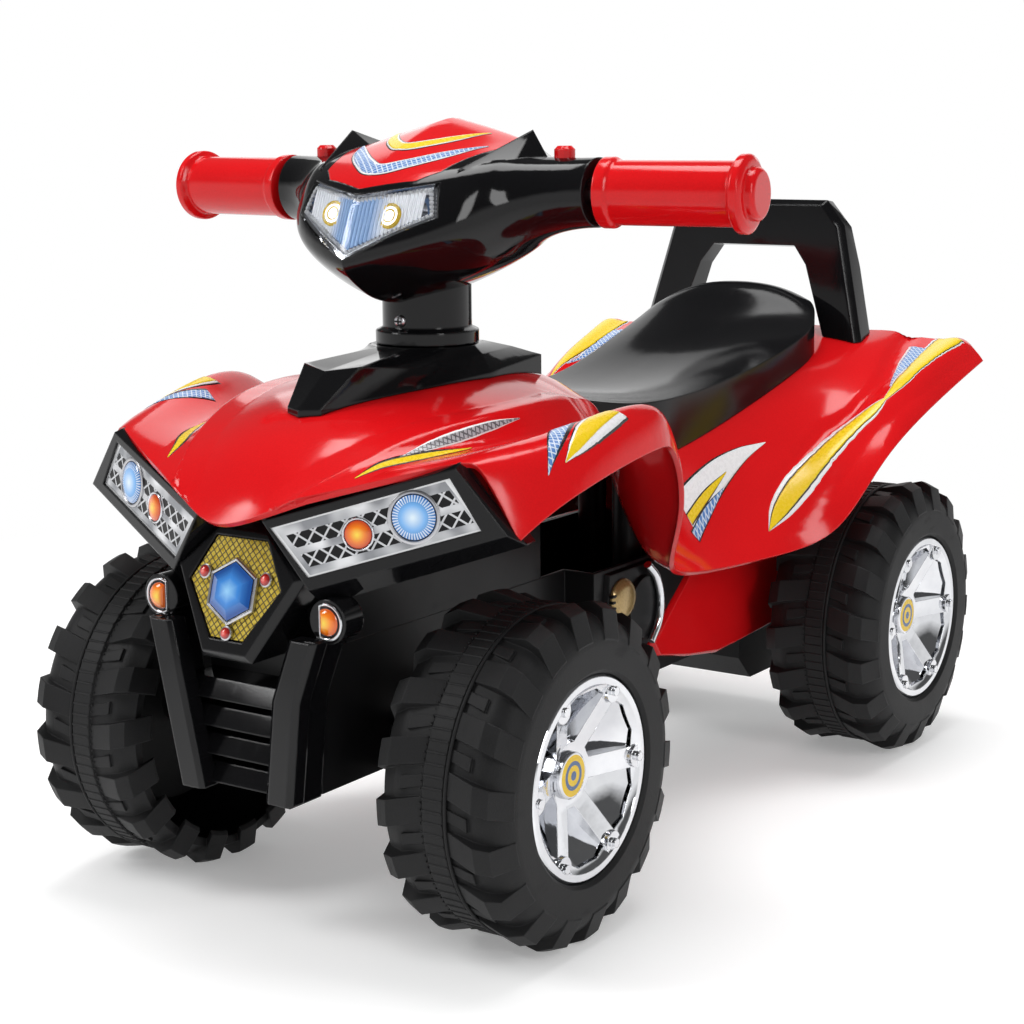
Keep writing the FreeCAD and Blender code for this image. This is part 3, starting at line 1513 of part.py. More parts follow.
def build_headlamp(front):
    inside = whole(cowl_solid(s.cowl_wall + s.seating, s.cowl_wall))
    back = column_y - bucket_depth_share * s.cowl_reach
    block_room = front_prism(lens_shares, reflector_share, front, back)
    hollow = front_prism(lens_shares, bucket_share, front, back - s.cowl_wall)
    bucket = largest(inside.common(block_room).cut(hollow))
    shaped("headlamp_reflector", bucket)
    leds = []
    x, z = led_shares
    for side in (1, -1):
        spot = cowl_at(side * x, 0, z)
        spot.y = back - s.cowl_wall - s.led_height
        ring = Part.makeCylinder(s.led_radius, s.led_height, spot, Vector(0, 1, 0))
        leds.append(ring)
    shaped("headlamp_leds", Part.makeCompound(leds))


def build_bar():
    shaped("handle_bar", bar_solid(s.bar_radius))
    bend, along = bar_path()[1:]
    bore = s.bar_radius + s.run_clearance
    start = s.cowl_wall
    length = s.grip_length
    flange_end = length - s.grip_cap_width
    corners = [
        (bore, start),
        (s.grip_inner_flange, start),
        (s.grip_inner_flange, start + s.grip_flange_width),
        (s.grip_radius, start + s.grip_flange_width + s.bead),
        (s.grip_radius, flange_end - s.grip_flange_width - s.bead),
        (s.grip_flange, flange_end - s.grip_flange_width),
        (s.grip_flange, flange_end - s.bead),
        (s.grip_radius, flange_end),
        (s.grip_cap_radius, flange_end),
        (s.grip_cap_radius, length - s.bead),
        (s.grip_cap_radius - s.bead, length),
        (0, length),
        (0, length - s.grip_cap_width),
        (bore, length - s.grip_cap_width),
    ]
    grip = ring_solid(corners)
    grip.Placement = Placement(bend, Rotation(Vector(0, 0, 1), along))
    shaped("grip_left", grip)
    shaped("grip_right", reflected(grip))


build_base()
build_column()
build_cowl()
build_bar()


# Everything is checked, then each node is written to a file of its own

document.recompute()
for item in document.Objects:
    assert "Invalid" not in item.State and "Error" not in item.State, item.Label
os.makedirs("parts", exist_ok=True)
for label, item in nodes.items():
    assert not item.Shape.isNull() and item.Shape.isValid() and item.Shape.Solids, label
    item.Shape.exportStep("parts/%s.step" % label)
print(len(nodes), "nodes written")
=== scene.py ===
import json
import math
from types import SimpleNamespace as Values

import bmesh
import bpy
from mathutils import Matrix, Vector
from mathutils.bvhtree import BVHTree


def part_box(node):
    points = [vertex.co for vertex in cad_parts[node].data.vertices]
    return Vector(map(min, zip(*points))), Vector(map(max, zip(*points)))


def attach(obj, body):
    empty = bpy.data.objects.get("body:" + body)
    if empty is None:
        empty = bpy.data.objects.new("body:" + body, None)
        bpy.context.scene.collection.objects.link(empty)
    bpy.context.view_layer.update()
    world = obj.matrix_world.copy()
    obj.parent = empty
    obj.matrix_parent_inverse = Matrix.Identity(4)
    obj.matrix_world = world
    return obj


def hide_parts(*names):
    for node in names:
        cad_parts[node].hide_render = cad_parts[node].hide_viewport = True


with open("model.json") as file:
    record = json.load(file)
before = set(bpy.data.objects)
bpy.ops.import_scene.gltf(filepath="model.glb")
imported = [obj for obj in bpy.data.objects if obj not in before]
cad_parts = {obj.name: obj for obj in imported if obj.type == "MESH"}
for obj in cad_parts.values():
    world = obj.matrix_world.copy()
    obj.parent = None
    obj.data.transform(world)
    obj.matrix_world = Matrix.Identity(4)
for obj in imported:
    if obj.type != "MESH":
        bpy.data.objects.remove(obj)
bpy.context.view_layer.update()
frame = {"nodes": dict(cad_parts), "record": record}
nodes = frame["nodes"]
scene = bpy.context.scene
mm = 0.001
sides = ((1, "left"), (-1, "right"))
xWay, zWay = Vector((1, 0, 0)), Vector((0, 0, 1))
bodyOf = {node: body for body, group in frame["record"]["behaviour"]["bodies"].items() for node in group}
slotOf = {part["node"]: part["material_slot"] for part in frame["record"]["subparts"]}
print("frame loaded with", len(nodes), "nodes")


# Small helpers for node trees: a socket or a node knows its own tree

def feed(node, sources):
    for label, source in sources.items():
        socket = node.inputs[label]
        if isinstance(source, bpy.types.NodeSocket):
            node.id_data.links.new(source, socket)
        elif socket.type == "RGBA":
            socket.default_value = (*source, 1.0)
        else:
            socket.default_value = source


def wire(tree, kind, sources=None, **settings):
    node = tree.nodes.new(kind)
    for key, value in settings.items():
        setattr(node, key, value)
    feed(node, sources or {})
    return node


def shaderGroup(name, inputs, outputs):
    tree = bpy.data.node_groups.new(name, "ShaderNodeTree")
    for label, value in inputs.items():
        kind = "NodeSocketVector" if value is None else "NodeSocketFloat"
        socket = tree.interface.new_socket(label, in_out="INPUT", socket_type=kind)
        if value is not None:
            socket.default_value = value
    for label in outputs:
        kind = "NodeSocketVector" if label == "Normal" else "NodeSocketFloat"
        tree.interface.new_socket(label, in_out="OUTPUT", socket_type=kind)
    return tree, wire(tree, "NodeGroupInput").outputs, wire(tree, "NodeGroupOutput")


def placed(tree, group, sources):
    return wire(tree, "ShaderNodeGroup", sources, node_tree=group).outputs


def blendColour(share, low, high):
    return wire(share.id_data, "ShaderNodeMix", {0: share, 6: low, 7: high}, data_type="RGBA").outputs[2]


def sums(operation, first, second=0.5, clamp=False):
    sources = {0: first, 1: second}
    return wire(first.id_data, "ShaderNodeMath", sources, operation=operation, use_clamp=clamp).outputs[0]


def ranged(value, fromLow, fromHigh, toLow=0.0, toHigh=1.0):
    sources = {0: value, 1: fromLow, 2: fromHigh, 3: toLow, 4: toHigh}
    return wire(value.id_data, "ShaderNodeMapRange", sources).outputs[0]


def between(value, low, high):
    return sums("MULTIPLY", sums("GREATER_THAN", value, low), sums("LESS_THAN", value, high))


def noise(spot, scale, detail, warp=0.0):
    sources = {"Vector": spot, "Scale": scale, "Detail": detail, "Distortion": warp}
    return wire(spot.id_data, "ShaderNodeTexNoise", sources).outputs[0]


def axesOf(vector):
    return wire(vector.id_data, "ShaderNodeSeparateXYZ", {0: vector}).outputs


def objectSpot(tree):
    return wire(tree, "ShaderNodeTexCoord").outputs["Object"]


# Shared effect: the fine grain, slow flow marks and sparse scuffs of moulded plastic
mould = Values(
    grainDetail=2.0, flowDetail=3.0, flowWarp=0.6, scuffTurn=(0.3, 0.5, 0.7), scuffStretch=(1.0, 0.16, 0.45),
    scuffScale=260.0, scuffDetail=4.0, scuffSpan=(0.60, 0.72))


def makeMouldSkin():
    tree, given, put = shaderGroup("mouldSkin", {"Vector": None, "Grain Scale": 900.0, "Flow Scale": 14.0},
                                   ["Grain", "Flow", "Scuff"])
    spot = given["Vector"]
    streak = wire(tree, "ShaderNodeMapping", {"Vector": spot, "Rotation": mould.scuffTurn,
                                              "Scale": mould.scuffStretch})
    scuff = noise(streak.outputs[0], mould.scuffScale, mould.scuffDetail)
    feed(put, {
        "Grain": noise(spot, given["Grain Scale"], mould.grainDetail),
        "Flow": noise(spot, given["Flow Scale"], mould.flowDetail, mould.flowWarp),
        "Scuff": ranged(scuff, *mould.scuffSpan),
    })
    return tree


# Shared effect: a printed diamond screen, and the blotches of its ink
blotch = Values(scale=420.0, detail=3.0)


def makeScreenPrint():
    tree, given, put = shaderGroup("screenPrint", {"Vector": None, "Pitch": 400.0, "Line": 0.5}, ["Cells", "Ink"])
    sized = wire(tree, "ShaderNodeVectorMath", {0: given["Vector"], "Scale": given["Pitch"]}, operation="SCALE")
    axes = axesOf(sized.outputs[0])
    waves = [sums("PINGPONG", sums(slant, axes[0], axes[1]), 1.0) for slant in ("ADD", "SUBTRACT")]
    feed(put, {
        "Cells": sums("GREATER_THAN", sums("MINIMUM", *waves), given["Line"]),
        "Ink": noise(given["Vector"], blotch.scale, blotch.detail),
    })
    return tree


# Shared effect: rounded edges, and a mask of where they rub
edgeWear = Values(samples=4, span=(0.985, 0.86))


def makeSoftEdge():
    tree, given, put = shaderGroup("softEdge", {"Radius": 0.001}, ["Normal", "Wear"])
    rounded = wire(tree, "ShaderNodeBevel", {"Radius": given["Radius"]}, samples=edgeWear.samples).outputs[0]
    facing = wire(tree, "ShaderNodeNewGeometry").outputs["Normal"]
    square = wire(tree, "ShaderNodeVectorMath", {0: rounded, 1: facing}, operation="DOT_PRODUCT")
    feed(put, {"Normal": rounded, "Wear": ranged(square.outputs["Value"], *edgeWear.span)})
    return tree


mouldSkin = makeMouldSkin()
screenPrint = makeScreenPrint()
softEdge = makeSoftEdge()


def skinOf(tree, look):
    return placed(tree, mouldSkin, {"Vector": objectSpot(tree), "Grain Scale": look.grain, "Flow Scale": look.flow})


def newMaterial(name):
    material = bpy.data.materials.new(name)
    material.use_nodes = True
    tree = material.node_tree
    return material, tree, tree.nodes["Principled BSDF"]


# Plain finishes: two tones, the rubbed tone of an edge, a roughness range, a grain and its height in mm
finishes = {
    "red_plastic": Values(
        tone=(0.70, 0.0075, 0.010), deep=(0.60, 0.0055, 0.008), rubbed=(0.84, 0.09, 0.09), rough=(0.09, 0.17),
        grain=1100.0, height=0.004, flow=9.0, specular=0.34, edge=1.2),
    "black_gloss": Values(
        tone=(0.0055, 0.0055, 0.0062), deep=(0.0035, 0.0035, 0.004), rubbed=(0.03, 0.03, 0.032), rough=(0.05, 0.11),
        grain=900.0, height=0.004, flow=11.0, specular=0.3, edge=1.3),
    "black_satin": Values(
        tone=(0.0085, 0.0085, 0.0092), deep=(0.0055, 0.0055, 0.006), rubbed=(0.03, 0.03, 0.031), rough=(0.32, 0.46),
        grain=2400.0, height=0.03, flow=16.0, specular=0.2, edge=0.8),
    "seat_black": Values(
        tone=(0.0080, 0.0080, 0.0088), deep=(0.0052, 0.0052, 0.0058), rubbed=(0.03, 0.03, 0.031), rough=(0.10, 0.18),
        grain=1700.0, height=0.006, flow=13.0, specular=0.2, edge=1.5),
    "tyre_black": Values(
        tone=(0.0135, 0.0135, 0.0142), deep=(0.0075, 0.0075, 0.0079), rubbed=(0.045, 0.045, 0.046),
        rough=(0.50, 0.66), grain=1500.0, height=0.12, flow=22.0, specular=0.24, edge=1.0),
    "bush_white": Values(
        tone=(0.78, 0.77, 0.72), deep=(0.70, 0.69, 0.64), rubbed=(0.82, 0.81, 0.78), rough=(0.36, 0.5), grain=1500.0,
        height=0.02, flow=30.0, edge=0.4),
    "steel": Values(
        tone=(0.60, 0.60, 0.62), deep=(0.48, 0.48, 0.50), rubbed=(0.74, 0.74, 0.75), rough=(0.24, 0.42), grain=2600.0,
        height=0.01, flow=60.0, edge=0.3, metallic=1.0),
    "chrome": Values(
        tone=(0.76, 0.77, 0.79), deep=(0.66, 0.67, 0.70), rubbed=(0.88, 0.88, 0.89), rough=(0.03, 0.09), grain=130.0,
        height=0.07, flow=26.0, edge=0.7, metallic=1.0),
    "bead_glass": Values(
        tone=(0.86, 0.87, 0.89), deep=(0.66, 0.67, 0.70), rubbed=(0.92, 0.92, 0.93), rough=(0.08, 0.2), grain=1500.0,
        height=0.01, flow=60.0, edge=0.2),
    "cap_yellow": Values(
        tone=(0.86, 0.58, 0.02), deep=(0.78, 0.50, 0.015), rubbed=(0.90, 0.70, 0.15), rough=(0.22, 0.34),
        grain=1800.0, height=0.008, flow=80.0, edge=0.3),
    "cap_blue": Values(
        tone=(0.10, 0.17, 0.32), deep=(0.07, 0.12, 0.24), rubbed=(0.2, 0.28, 0.42), rough=(0.22, 0.34), grain=1800.0,
        height=0.008, flow=80.0, edge=0.2),
    "cover_tan": Values(
        tone=(0.50, 0.36, 0.15), deep=(0.30, 0.20, 0.08), rubbed=(0.66, 0.55, 0.34), rough=(0.16, 0.30), grain=900.0,
        height=0.01, flow=45.0, edge=0.6, metallic=0.4),
}
mouldMix = Values(
    flow=0.6, grain=0.4, toneSpan=(0.35, 0.65), rubSpan=(0.35, 0.7, 0.1, 0.6), scuff=0.35, roughSpan=(0.25, 0.95),
    specular=0.5)


def mouldedFinish(name, look):
    material, tree, shader = newMaterial(name)
    skin = skinOf(tree, look)
    edge = placed(tree, softEdge, {"Radius": look.edge * mm})
    flow, grain = skin["Flow"], skin["Grain"]
    mottle = sums("ADD", sums("MULTIPLY", flow, mouldMix.flow), sums("MULTIPLY", grain, mouldMix.grain))
    tone = blendColour(ranged(mottle, *mouldMix.toneSpan), look.deep, look.tone)
    rub = sums("MULTIPLY", edge["Wear"], ranged(flow, *mouldMix.rubSpan))
    worn = sums("ADD", flow, sums("MULTIPLY", skin["Scuff"], mouldMix.scuff))
    bump = wire(tree, "ShaderNodeBump", {"Height": grain, "Distance": look.height * mm, "Strength": 1.0,
                                         "Normal": edge["Normal"]})
    feed(shader, {
        "Base Color": blendColour(rub, tone, look.rubbed),
        "Roughness": ranged(worn, *mouldMix.roughSpan, *look.rough),
        "Normal": bump.outputs[0], "Metallic": getattr(look, "metallic", 0.0),
        "Specular IOR Level": getattr(look, "specular", mouldMix.specular),
    })
    return material


# Sticker inks: the line is how wide a second tone runs in a fine diamond screen
inks = {
    "ink_yellow": Values(tone=(0.84, 0.60, 0.008), second=(0.81, 0.565, 0.006), pitch=1500.0, line=0.3),
    "ink_white": Values(tone=(0.86, 0.86, 0.87), second=(0.83, 0.835, 0.85), pitch=1500.0, line=0.3),
    "ink_black": Values(tone=(0.010, 0.010, 0.011), second=(0.018, 0.018, 0.02), pitch=500.0, line=0.5),
    "ink_blue": Values(tone=(0.09, 0.22, 0.52), second=(0.62, 0.70, 0.80), pitch=560.0, line=0.24),
    "ink_grey": Values(tone=(0.42, 0.43, 0.46), second=(0.12, 0.12, 0.13), pitch=640.0, line=0.30),
}
inkRoughSpan = (0.3, 0.7, 0.25, 0.30)


def printedInk(name, look):
    material, tree, shader = newMaterial(name)
    screen = placed(tree, screenPrint, {"Vector": objectSpot(tree), "Pitch": look.pitch, "Line": look.line})
    feed(shader, {
        "Base Color": blendColour(screen["Cells"], look.second, look.tone),
        "Roughness": ranged(screen["Ink"], *inkRoughSpan),
    })
    return material


# Lamp domes: three tones from the middle out, and rays in a band near the rim
lamps = {
    "lamp_blue": Values(core=(0.74, 0.88, 1.0), middle=(0.20, 0.48, 0.90), edge=(0.02, 0.14, 0.46), rays=44.0),
    "lamp_amber": Values(core=(1.0, 0.68, 0.05), middle=(0.95, 0.24, 0.012), edge=(0.58, 0.025, 0.006)),
    "lamp_red": Values(core=(0.95, 0.30, 0.26), middle=(0.66, 0.04, 0.03), edge=(0.30, 0.01, 0.01)),
    "lamp_stone": Values(core=(0.30, 0.62, 0.96), middle=(0.05, 0.26, 0.72), edge=(0.01, 0.08, 0.34)),
}
dome = Values(
    coreSpan=(0.05, 0.45), edgeSpan=(0.45, 0.86), rayBand=(0.58, 0.82), rayGap=0.27, rayShare=0.75,
    rayTone=(0.80, 0.88, 0.96), grain=1500.0, flow=90.0, roughSpan=(0.3, 0.7, 0.10, 0.2), coat=0.6, coatRough=0.06)


def lampInk(name, look):
    material, tree, shader = newMaterial(name)
    turn, reach, _ = axesOf(wire(tree, "ShaderNodeUVMap", uv_map="lampPolar").outputs[0])
    tone = blendColour(ranged(reach, *dome.coreSpan), look.core, look.middle)
    tone = blendColour(ranged(reach, *dome.edgeSpan), tone, look.edge)
    if hasattr(look, "rays"):
        ray = sums("PINGPONG", sums("MULTIPLY", turn, look.rays), 0.5)
        lit = sums("MULTIPLY", sums("GREATER_THAN", ray, dome.rayGap), between(reach, *dome.rayBand))
        tone = blendColour(sums("MULTIPLY", lit, dome.rayShare), tone, dome.rayTone)
    feed(shader, {
        "Base Color": tone, "Coat Weight": dome.coat, "Coat Roughness": dome.coatRough,
        "Roughness": ranged(skinOf(tree, dome)["Flow"], *dome.roughSpan),
    })
    return material


# Lamp panel print, in mm on the panel: its skewed ends, its silver bars and the mesh between them
panelPrint = Values(
    length=93.4, height=27.6, skew=11.53, rim=1.6, ends=4.4, bars=[(0.0, 4.6), (11.6, 15.2), (22.2, 27.6)],
    meshPitch=0.24, meshLine=0.17, strand=(0.62, 0.63, 0.65), gap=(0.010, 0.010, 0.011), border=(0.86, 0.87, 0.88),
    dim=(0.30, 0.31, 0.33), bright=(0.84, 0.85, 0.87), sheenScale=0.05, sheenSpan=(0.40, 0.62), rough=(0.30, 0.18),
    metal=(0.0, 0.35), specular=0.2)


def barPrint(name):
    material, tree, shader = newMaterial(name)
    flat = wire(tree, "ShaderNodeUVMap", uv_map="panelFlat").outputs[0]
    reach, tall, _ = axesOf(flat)
    length, height, rim, ends = panelPrint.length, panelPrint.height, panelPrint.rim, panelPrint.ends
    along = sums("SUBTRACT", reach, ranged(tall, 0.0, height, panelPrint.skew, 0.0))
    screen = placed(tree, screenPrint, {"Vector": flat, "Pitch": panelPrint.meshPitch, "Line": panelPrint.meshLine})
    mesh = blendColour(screen["Cells"], panelPrint.strand, panelPrint.gap)
    sheen = ranged(noise(flat, panelPrint.sheenScale, 1.0), *panelPrint.sheenSpan)
    silver = blendColour(sheen, panelPrint.dim, panelPrint.bright)
    bars = sums("LESS_THAN", along, ends)
    bars = sums("ADD", bars, sums("GREATER_THAN", along, length - ends), clamp=True)
    for bottom, top in panelPrint.bars:
        bars = sums("ADD", between(tall, bottom, top), bars, clamp=True)
    printed = blendColour(bars, mesh, silver)
    field = sums("MULTIPLY", between(along, rim, length - 2 * rim), between(tall, rim / 2, height - rim / 2))
    feed(shader, {
        "Base Color": blendColour(field, panelPrint.border, printed),
        "Roughness": ranged(bars, 0.0, 1.0, *panelPrint.rough),
        "Metallic": ranged(bars, 0.0, 1.0, *panelPrint.metal),
        "Specular IOR Level": panelPrint.specular,
    })
    return material


goldNet = Values(
    pitch=520.0, line=0.22, gap=(0.06, 0.04, 0.005), dark=(0.62, 0.43, 0.03), light=(0.88, 0.68, 0.12),
    inkSpan=(0.35, 0.65), rough=(0.45, 0.26), metal=(0.1, 0.55))


def goldMesh(name):
    material, tree, shader = newMaterial(name)
    upright = wire(tree, "ShaderNodeMapping", {"Vector": objectSpot(tree), "Rotation": (math.pi / 2, 0.0, 0.0)})
    screen = placed(tree, screenPrint, {"Vector": upright.outputs[0], "Pitch": goldNet.pitch, "Line": goldNet.line})
    bright = blendColour(ranged(screen["Ink"], *goldNet.inkSpan), goldNet.dark, goldNet.light)
    feed(shader, {
        "Base Color": blendColour(screen["Cells"], goldNet.gap, bright),
        "Roughness": ranged(screen["Cells"], 0.0, 1.0, *goldNet.rough),
        "Metallic": ranged(screen["Cells"], 0.0, 1.0, *goldNet.metal),
    })
    return material


lensLook = Values(tone=(0.97, 0.98, 1.0), bend=1.38, grain=1500.0, flow=60.0, rough=(0.02, 0.08))


def clearPlastic(name):
    material, tree, shader = newMaterial(name)
    scuff = skinOf(tree, lensLook)["Scuff"]
    feed(shader, {
        "Base Color": lensLook.tone, "Transmission Weight": 1.0, "IOR": lensLook.bend,
        "Roughness": ranged(scuff, 0.0, 1.0, *lensLook.rough),
    })
    return material


# Headlamp flutes: blue in the middle, pale from a few mm out, with a faint painted glow so that they look brighter
fluteLook = Values(
    middle=(0.30, 0.46, 0.72), outer=(0.86, 0.88, 0.91), paleSpan=(0.009, 0.017), glow=0.22, metal=0.15, grain=1500.0,
    flow=60.0, roughSpan=(0.3, 0.7, 0.10, 0.22))


def fluteWithPaintedGlow(name):
    material, tree, shader = newMaterial(name)
    off = sums("ABSOLUTE", axesOf(objectSpot(tree))[0])
    tone = blendColour(ranged(off, *fluteLook.paleSpan), fluteLook.middle, fluteLook.outer)
    # painted glow: the flutes faintly give off their own tone, though the lamp is not lit
    feed(shader, {
        "Base Color": tone, "Emission Color": tone, "Emission Strength": fluteLook.glow,
        "Roughness": ranged(skinOf(tree, fluteLook)["Flow"], *fluteLook.roughSpan),
        "Metallic": fluteLook.metal,
    })
    return material


finishOf = {name: make(name, look) for make, group in ((mouldedFinish, finishes), (printedInk, inks), (lampInk, lamps))
            for name, look in group.items()}
finishOf["lamp_orange"] = finishOf["lamp_amber"]
for name, make in (("lamp_flute", fluteWithPaintedGlow), ("panel_silver", barPrint), ("badge_gold", goldMesh),
                   ("clear_lens", clearPlastic)):
    finishOf[name] = make(name)
print("materials made:", len(bpy.data.materials))


# Small helpers for pieces

def link(piece):
    scene.collection.objects.link(piece)
    return piece


def settle(piece, body, slot, *stoodFor):
    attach(piece, body)
    if stoodFor:
        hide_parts(*stoodFor)
    return piece


def applied(piece, modifier):
    # the modifier is worked into the piece's own mesh
    mesh = bpy.data.meshes.new_from_object(piece.evaluated_get(bpy.context.evaluated_depsgraph_get()))
    piece.modifiers.remove(modifier)
    piece.data = mesh
    mesh.name = piece.name


def meshFrom(form, name, looks):
    mesh = bpy.data.meshes.new(name)
    form.to_mesh(mesh)
    form.free()
    for look in looks:
        mesh.materials.append(finishOf[look])
    mesh.shade_smooth()
    return mesh


def named(prefix):
    return sorted(node for node in nodes if node.startswith(prefix))


def boxOf(node):
    low, high = (Vector(corner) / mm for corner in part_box(node))
    hub = (low + high) / 2
    return low, high, hub, 1 if hub.x > 0 else -1


# The moulded parts: smooth copies of the solids, each standing for its own node
smoothing = Values(
    mergeGap=0.002, sharpAngle=32.0, sharpOf={"upper_shell": 24.0, "cowl_lower": 26.0, "cowl_cover": 26.0})
rounding = Values(
    flat=0.5, shortest=0.5, segments=2, profile=0.5,
    widthOf={"steering_base": 1.2, "grab_hoop": 2.0, "front_guard": 0.9, "tail_panel": 1.2, "chassis": 1.0,
             "lamp_housing_left": 1.1, "lamp_housing_right": 1.1, "steering_column": 0.6, "side_panel_left": 1.0,
             "side_panel_right": 1.0, "grip_left": 0.7, "grip_right": 0.7, "engine_panel_left": 0.6,
             "engine_panel_right": 0.6})


def roundEdges(solid, width):
    flat, bent = math.radians(rounding.flat), math.radians(smoothing.sharpAngle)
    bmesh.ops.dissolve_limit(solid, angle_limit=flat, verts=solid.verts, edges=solid.edges)
    bmesh.ops.dissolve_degenerate(solid, dist=rounding.shortest * mm, edges=solid.edges)
    sharp = [edge for edge in solid.edges if len(edge.link_faces) == 2 and edge.calc_face_angle(0.0) > bent]
    bmesh.ops.bevel(solid, geom=sharp, offset=width * mm, offset_type="OFFSET", segments=rounding.segments,
                    profile=rounding.profile, affect="EDGES", clamp_overlap=True, loop_slide=True)
    bmesh.ops.holes_fill(solid, edges=[edge for edge in solid.edges if edge.is_boundary], sides=0)
    bmesh.ops.triangulate(solid, faces=[face for face in solid.faces if len(face.verts) > 4])


# Creases moulded into the shell: a line seen from above or in space, how far it stands and how far it fades,
# and how quickly it sinks in towards its front end
creaseWork = Values(turns=3, grain=2.8, facing=0.2, shortest=0.05)
creases = [
    Values(
        line=[(39.0, -284.0), (49.1, -263.0), (57.0, -247.0), (62.0, -232.0), (69.5, -213.0), (79.6, -189.0),
              (86.2, -169.0), (89.6, -151.0), (90.5, -135.0), (90.2, -126.0)], rise=2.8, fade=15.0),
    Values(
        line=[(136.0, 284.0, 253.0), (134.0, 260.2, 247.3), (131.7, 235.2, 239.8), (128.2, 215.6, 232.9),
              (124.0, 199.4, 226.2), (119.8, 175.9, 213.1), (115.5, 162.5, 203.9), (112.3, 151.1, 195.2),
              (109.7, 139.8, 185.2), (108.2, 129.1, 174.9), (105.9, 120.7, 167.0), (104.2, 112.5, 159.3)], rise=3.8,
        fade=14.0, taper=3.0),
    Values(
        line=[(102.0, 284.0, 259.0), (105.1, 261.6, 253.5), (108.3, 242.5, 247.0), (113.2, 219.4, 237.3),
              (113.4, 200.8, 230.0), (110.0, 181.8, 219.0), (105.5, 171.6, 213.4), (100.4, 163.4, 209.4),
              (95.3, 145.6, 198.4), (91.9, 130.3, 187.4), (88.9, 114.6, 175.3), (87.9, 100.6, 163.4)], rise=-2.4,
        fade=10.0, taper=4.0),
]


def creaseShare(place, crease):
    line = [Vector(point) for point in crease.line]
    spot = Vector((abs(place.x), place.y, place.z)[:len(line[0])]) / mm
    nearest, reached = crease.fade, 0.0
    for leg, (first, second) in enumerate(zip(line, line[1:])):
        run = second - first
        share = min(max((spot - first).dot(run) / run.length_squared, 0.0), 1.0)
        gap = (spot - first - run * share).length
        if gap < nearest:
            nearest, reached = gap, (leg + share) / (len(line) - 1)
    share = 1.0 - nearest / crease.fade
    if hasattr(crease, "taper"):
        # a rounded crest that sinks into the shell
        share *= share * (3.0 - 2.0 * share) * min(crease.taper * (1.0 - reached), 1.0)
    return share


def raiseCreases(solid):
    for _ in range(creaseWork.turns):
        near = {vert for vert in solid.verts if vert.normal.z > creaseWork.facing
                and any(creaseShare(vert.co, crease) > 0.0 for crease in creases)}
        coarse = [edge for edge in solid.edges if edge.calc_length() > creaseWork.grain * mm
                  and (edge.verts[0] in near or edge.verts[1] in near)]
        bmesh.ops.subdivide_edges(solid, edges=coarse, cuts=1)
        bmesh.ops.triangulate(solid, faces=[face for face in solid.faces if len(face.verts) > 3])
        bmesh.ops.dissolve_degenerate(solid, dist=creaseWork.shortest * mm, edges=solid.edges)
        solid.normal_update()
    moves = [(vert, sum(crease.rise * creaseShare(vert.co, crease) for crease in creases))
             for vert in solid.verts if vert.normal.z > creaseWork.facing]
    for vert, rise in moves:
        if rise:
            vert.co += vert.normal * rise * mm


# Tyre lugs: each rises from the band to the shoulder, and every second one is only a low ridge
lugs = Values(foot=82.3, crown=87.0, found=84.0, bandHalf=6.5, fullAt=24.5, shortReach=21.0, lowRise=1.1)


def shapeLugs(solid, node):
    low, high = (Vector(corner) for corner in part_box(node))
    hub = (low + high) / 2

    def across(vert):
        return abs(vert.co.x - hub.x) / mm

    def out(vert):
        return math.hypot(vert.co.y - hub.y, vert.co.z - hub.z) / mm

    waiting = {vert for vert in solid.verts if out(vert) > lugs.found}
    while waiting:
        lug = [waiting.pop()]
        for vert in lug:
            for edge in vert.link_edges:
                other = edge.other_vert(vert)
                if other in waiting:
                    waiting.discard(other)
                    lug.append(other)
        short = max(across(vert) for vert in lug) < lugs.shortReach
        rise = lugs.lowRise if short else lugs.crown - lugs.foot
        for vert in lug:
            climb = min(max((across(vert) - lugs.bandHalf) / (lugs.fullAt - lugs.bandHalf), 0.0), 1.0)
            pull = min((lugs.foot + rise * climb) / out(vert), 1.0)
            vert.co.y = hub.y + (vert.co.y - hub.y) * pull
            vert.co.z = hub.z + (vert.co.z - hub.z) * pull


def smoothCopy(node):
    mesh = nodes[node].data.copy()
    mesh.name = node + "_skin"
    solid = bmesh.new()
    solid.from_mesh(mesh)
    bmesh.ops.remove_doubles(solid, verts=solid.verts, dist=smoothing.mergeGap * mm)
    if node in rounding.widthOf:
        roundEdges(solid, rounding.widthOf[node])
    if node == "upper_shell":
        raiseCreases(solid)
    if node.startswith("tyre_"):
        shapeLugs(solid, node)
    solid.to_mesh(mesh)
    solid.free()
    if "custom_normal" in mesh.attributes:
        mesh.attributes.remove(mesh.attributes["custom_normal"])
    mesh.shade_smooth()
    mesh.set_sharp_from_angle(angle=math.radians(smoothing.sharpOf.get(node, smoothing.sharpAngle)))
    return mesh


remade = {"blinker_left", "blinker_right", "headlamp_leds", "column_screw", *named("hub_cap_")}
skins = {}
for node in sorted(set(nodes) - remade):
    mesh = smoothCopy(node)
    mesh.materials.clear()
    mesh.materials.append(finishOf["seat_black" if node == "seat" else slotOf[node]])
    piece = link(bpy.data.objects.new(node + "_skin", mesh))
    if node in rounding.widthOf:
        flatten = piece.modifiers.new("flatten", "WEIGHTED_NORMAL")
        flatten.keep_sharp = True
        applied(piece, flatten)
    skins[node] = settle(piece, bodyOf[node], slotOf[node], node)
print("moulded parts dressed:", len(skins))


# Flat places on the front: three corners of the lamp panel, in mm
panelCorners = Values(
    innerTop=(24.45, -285.24, 214.0), outerTop=(107.55, -252.24, 241.0), innerBottom=(42.9, -280.24, 191.0), sunk=1.4)


def panelFrame(side):
    inner, outer, low = (Vector((side * x, y, z)) for x, y, z in
                         (panelCorners.innerTop, panelCorners.outerTop, panelCorners.innerBottom))
    along = (outer - inner).normalized()
    down = low - inner
    up = -(down - along * down.dot(along)).normalized()
    right = along * side
    return low - right.cross(up) * panelCorners.sunk, inner, along, up, right


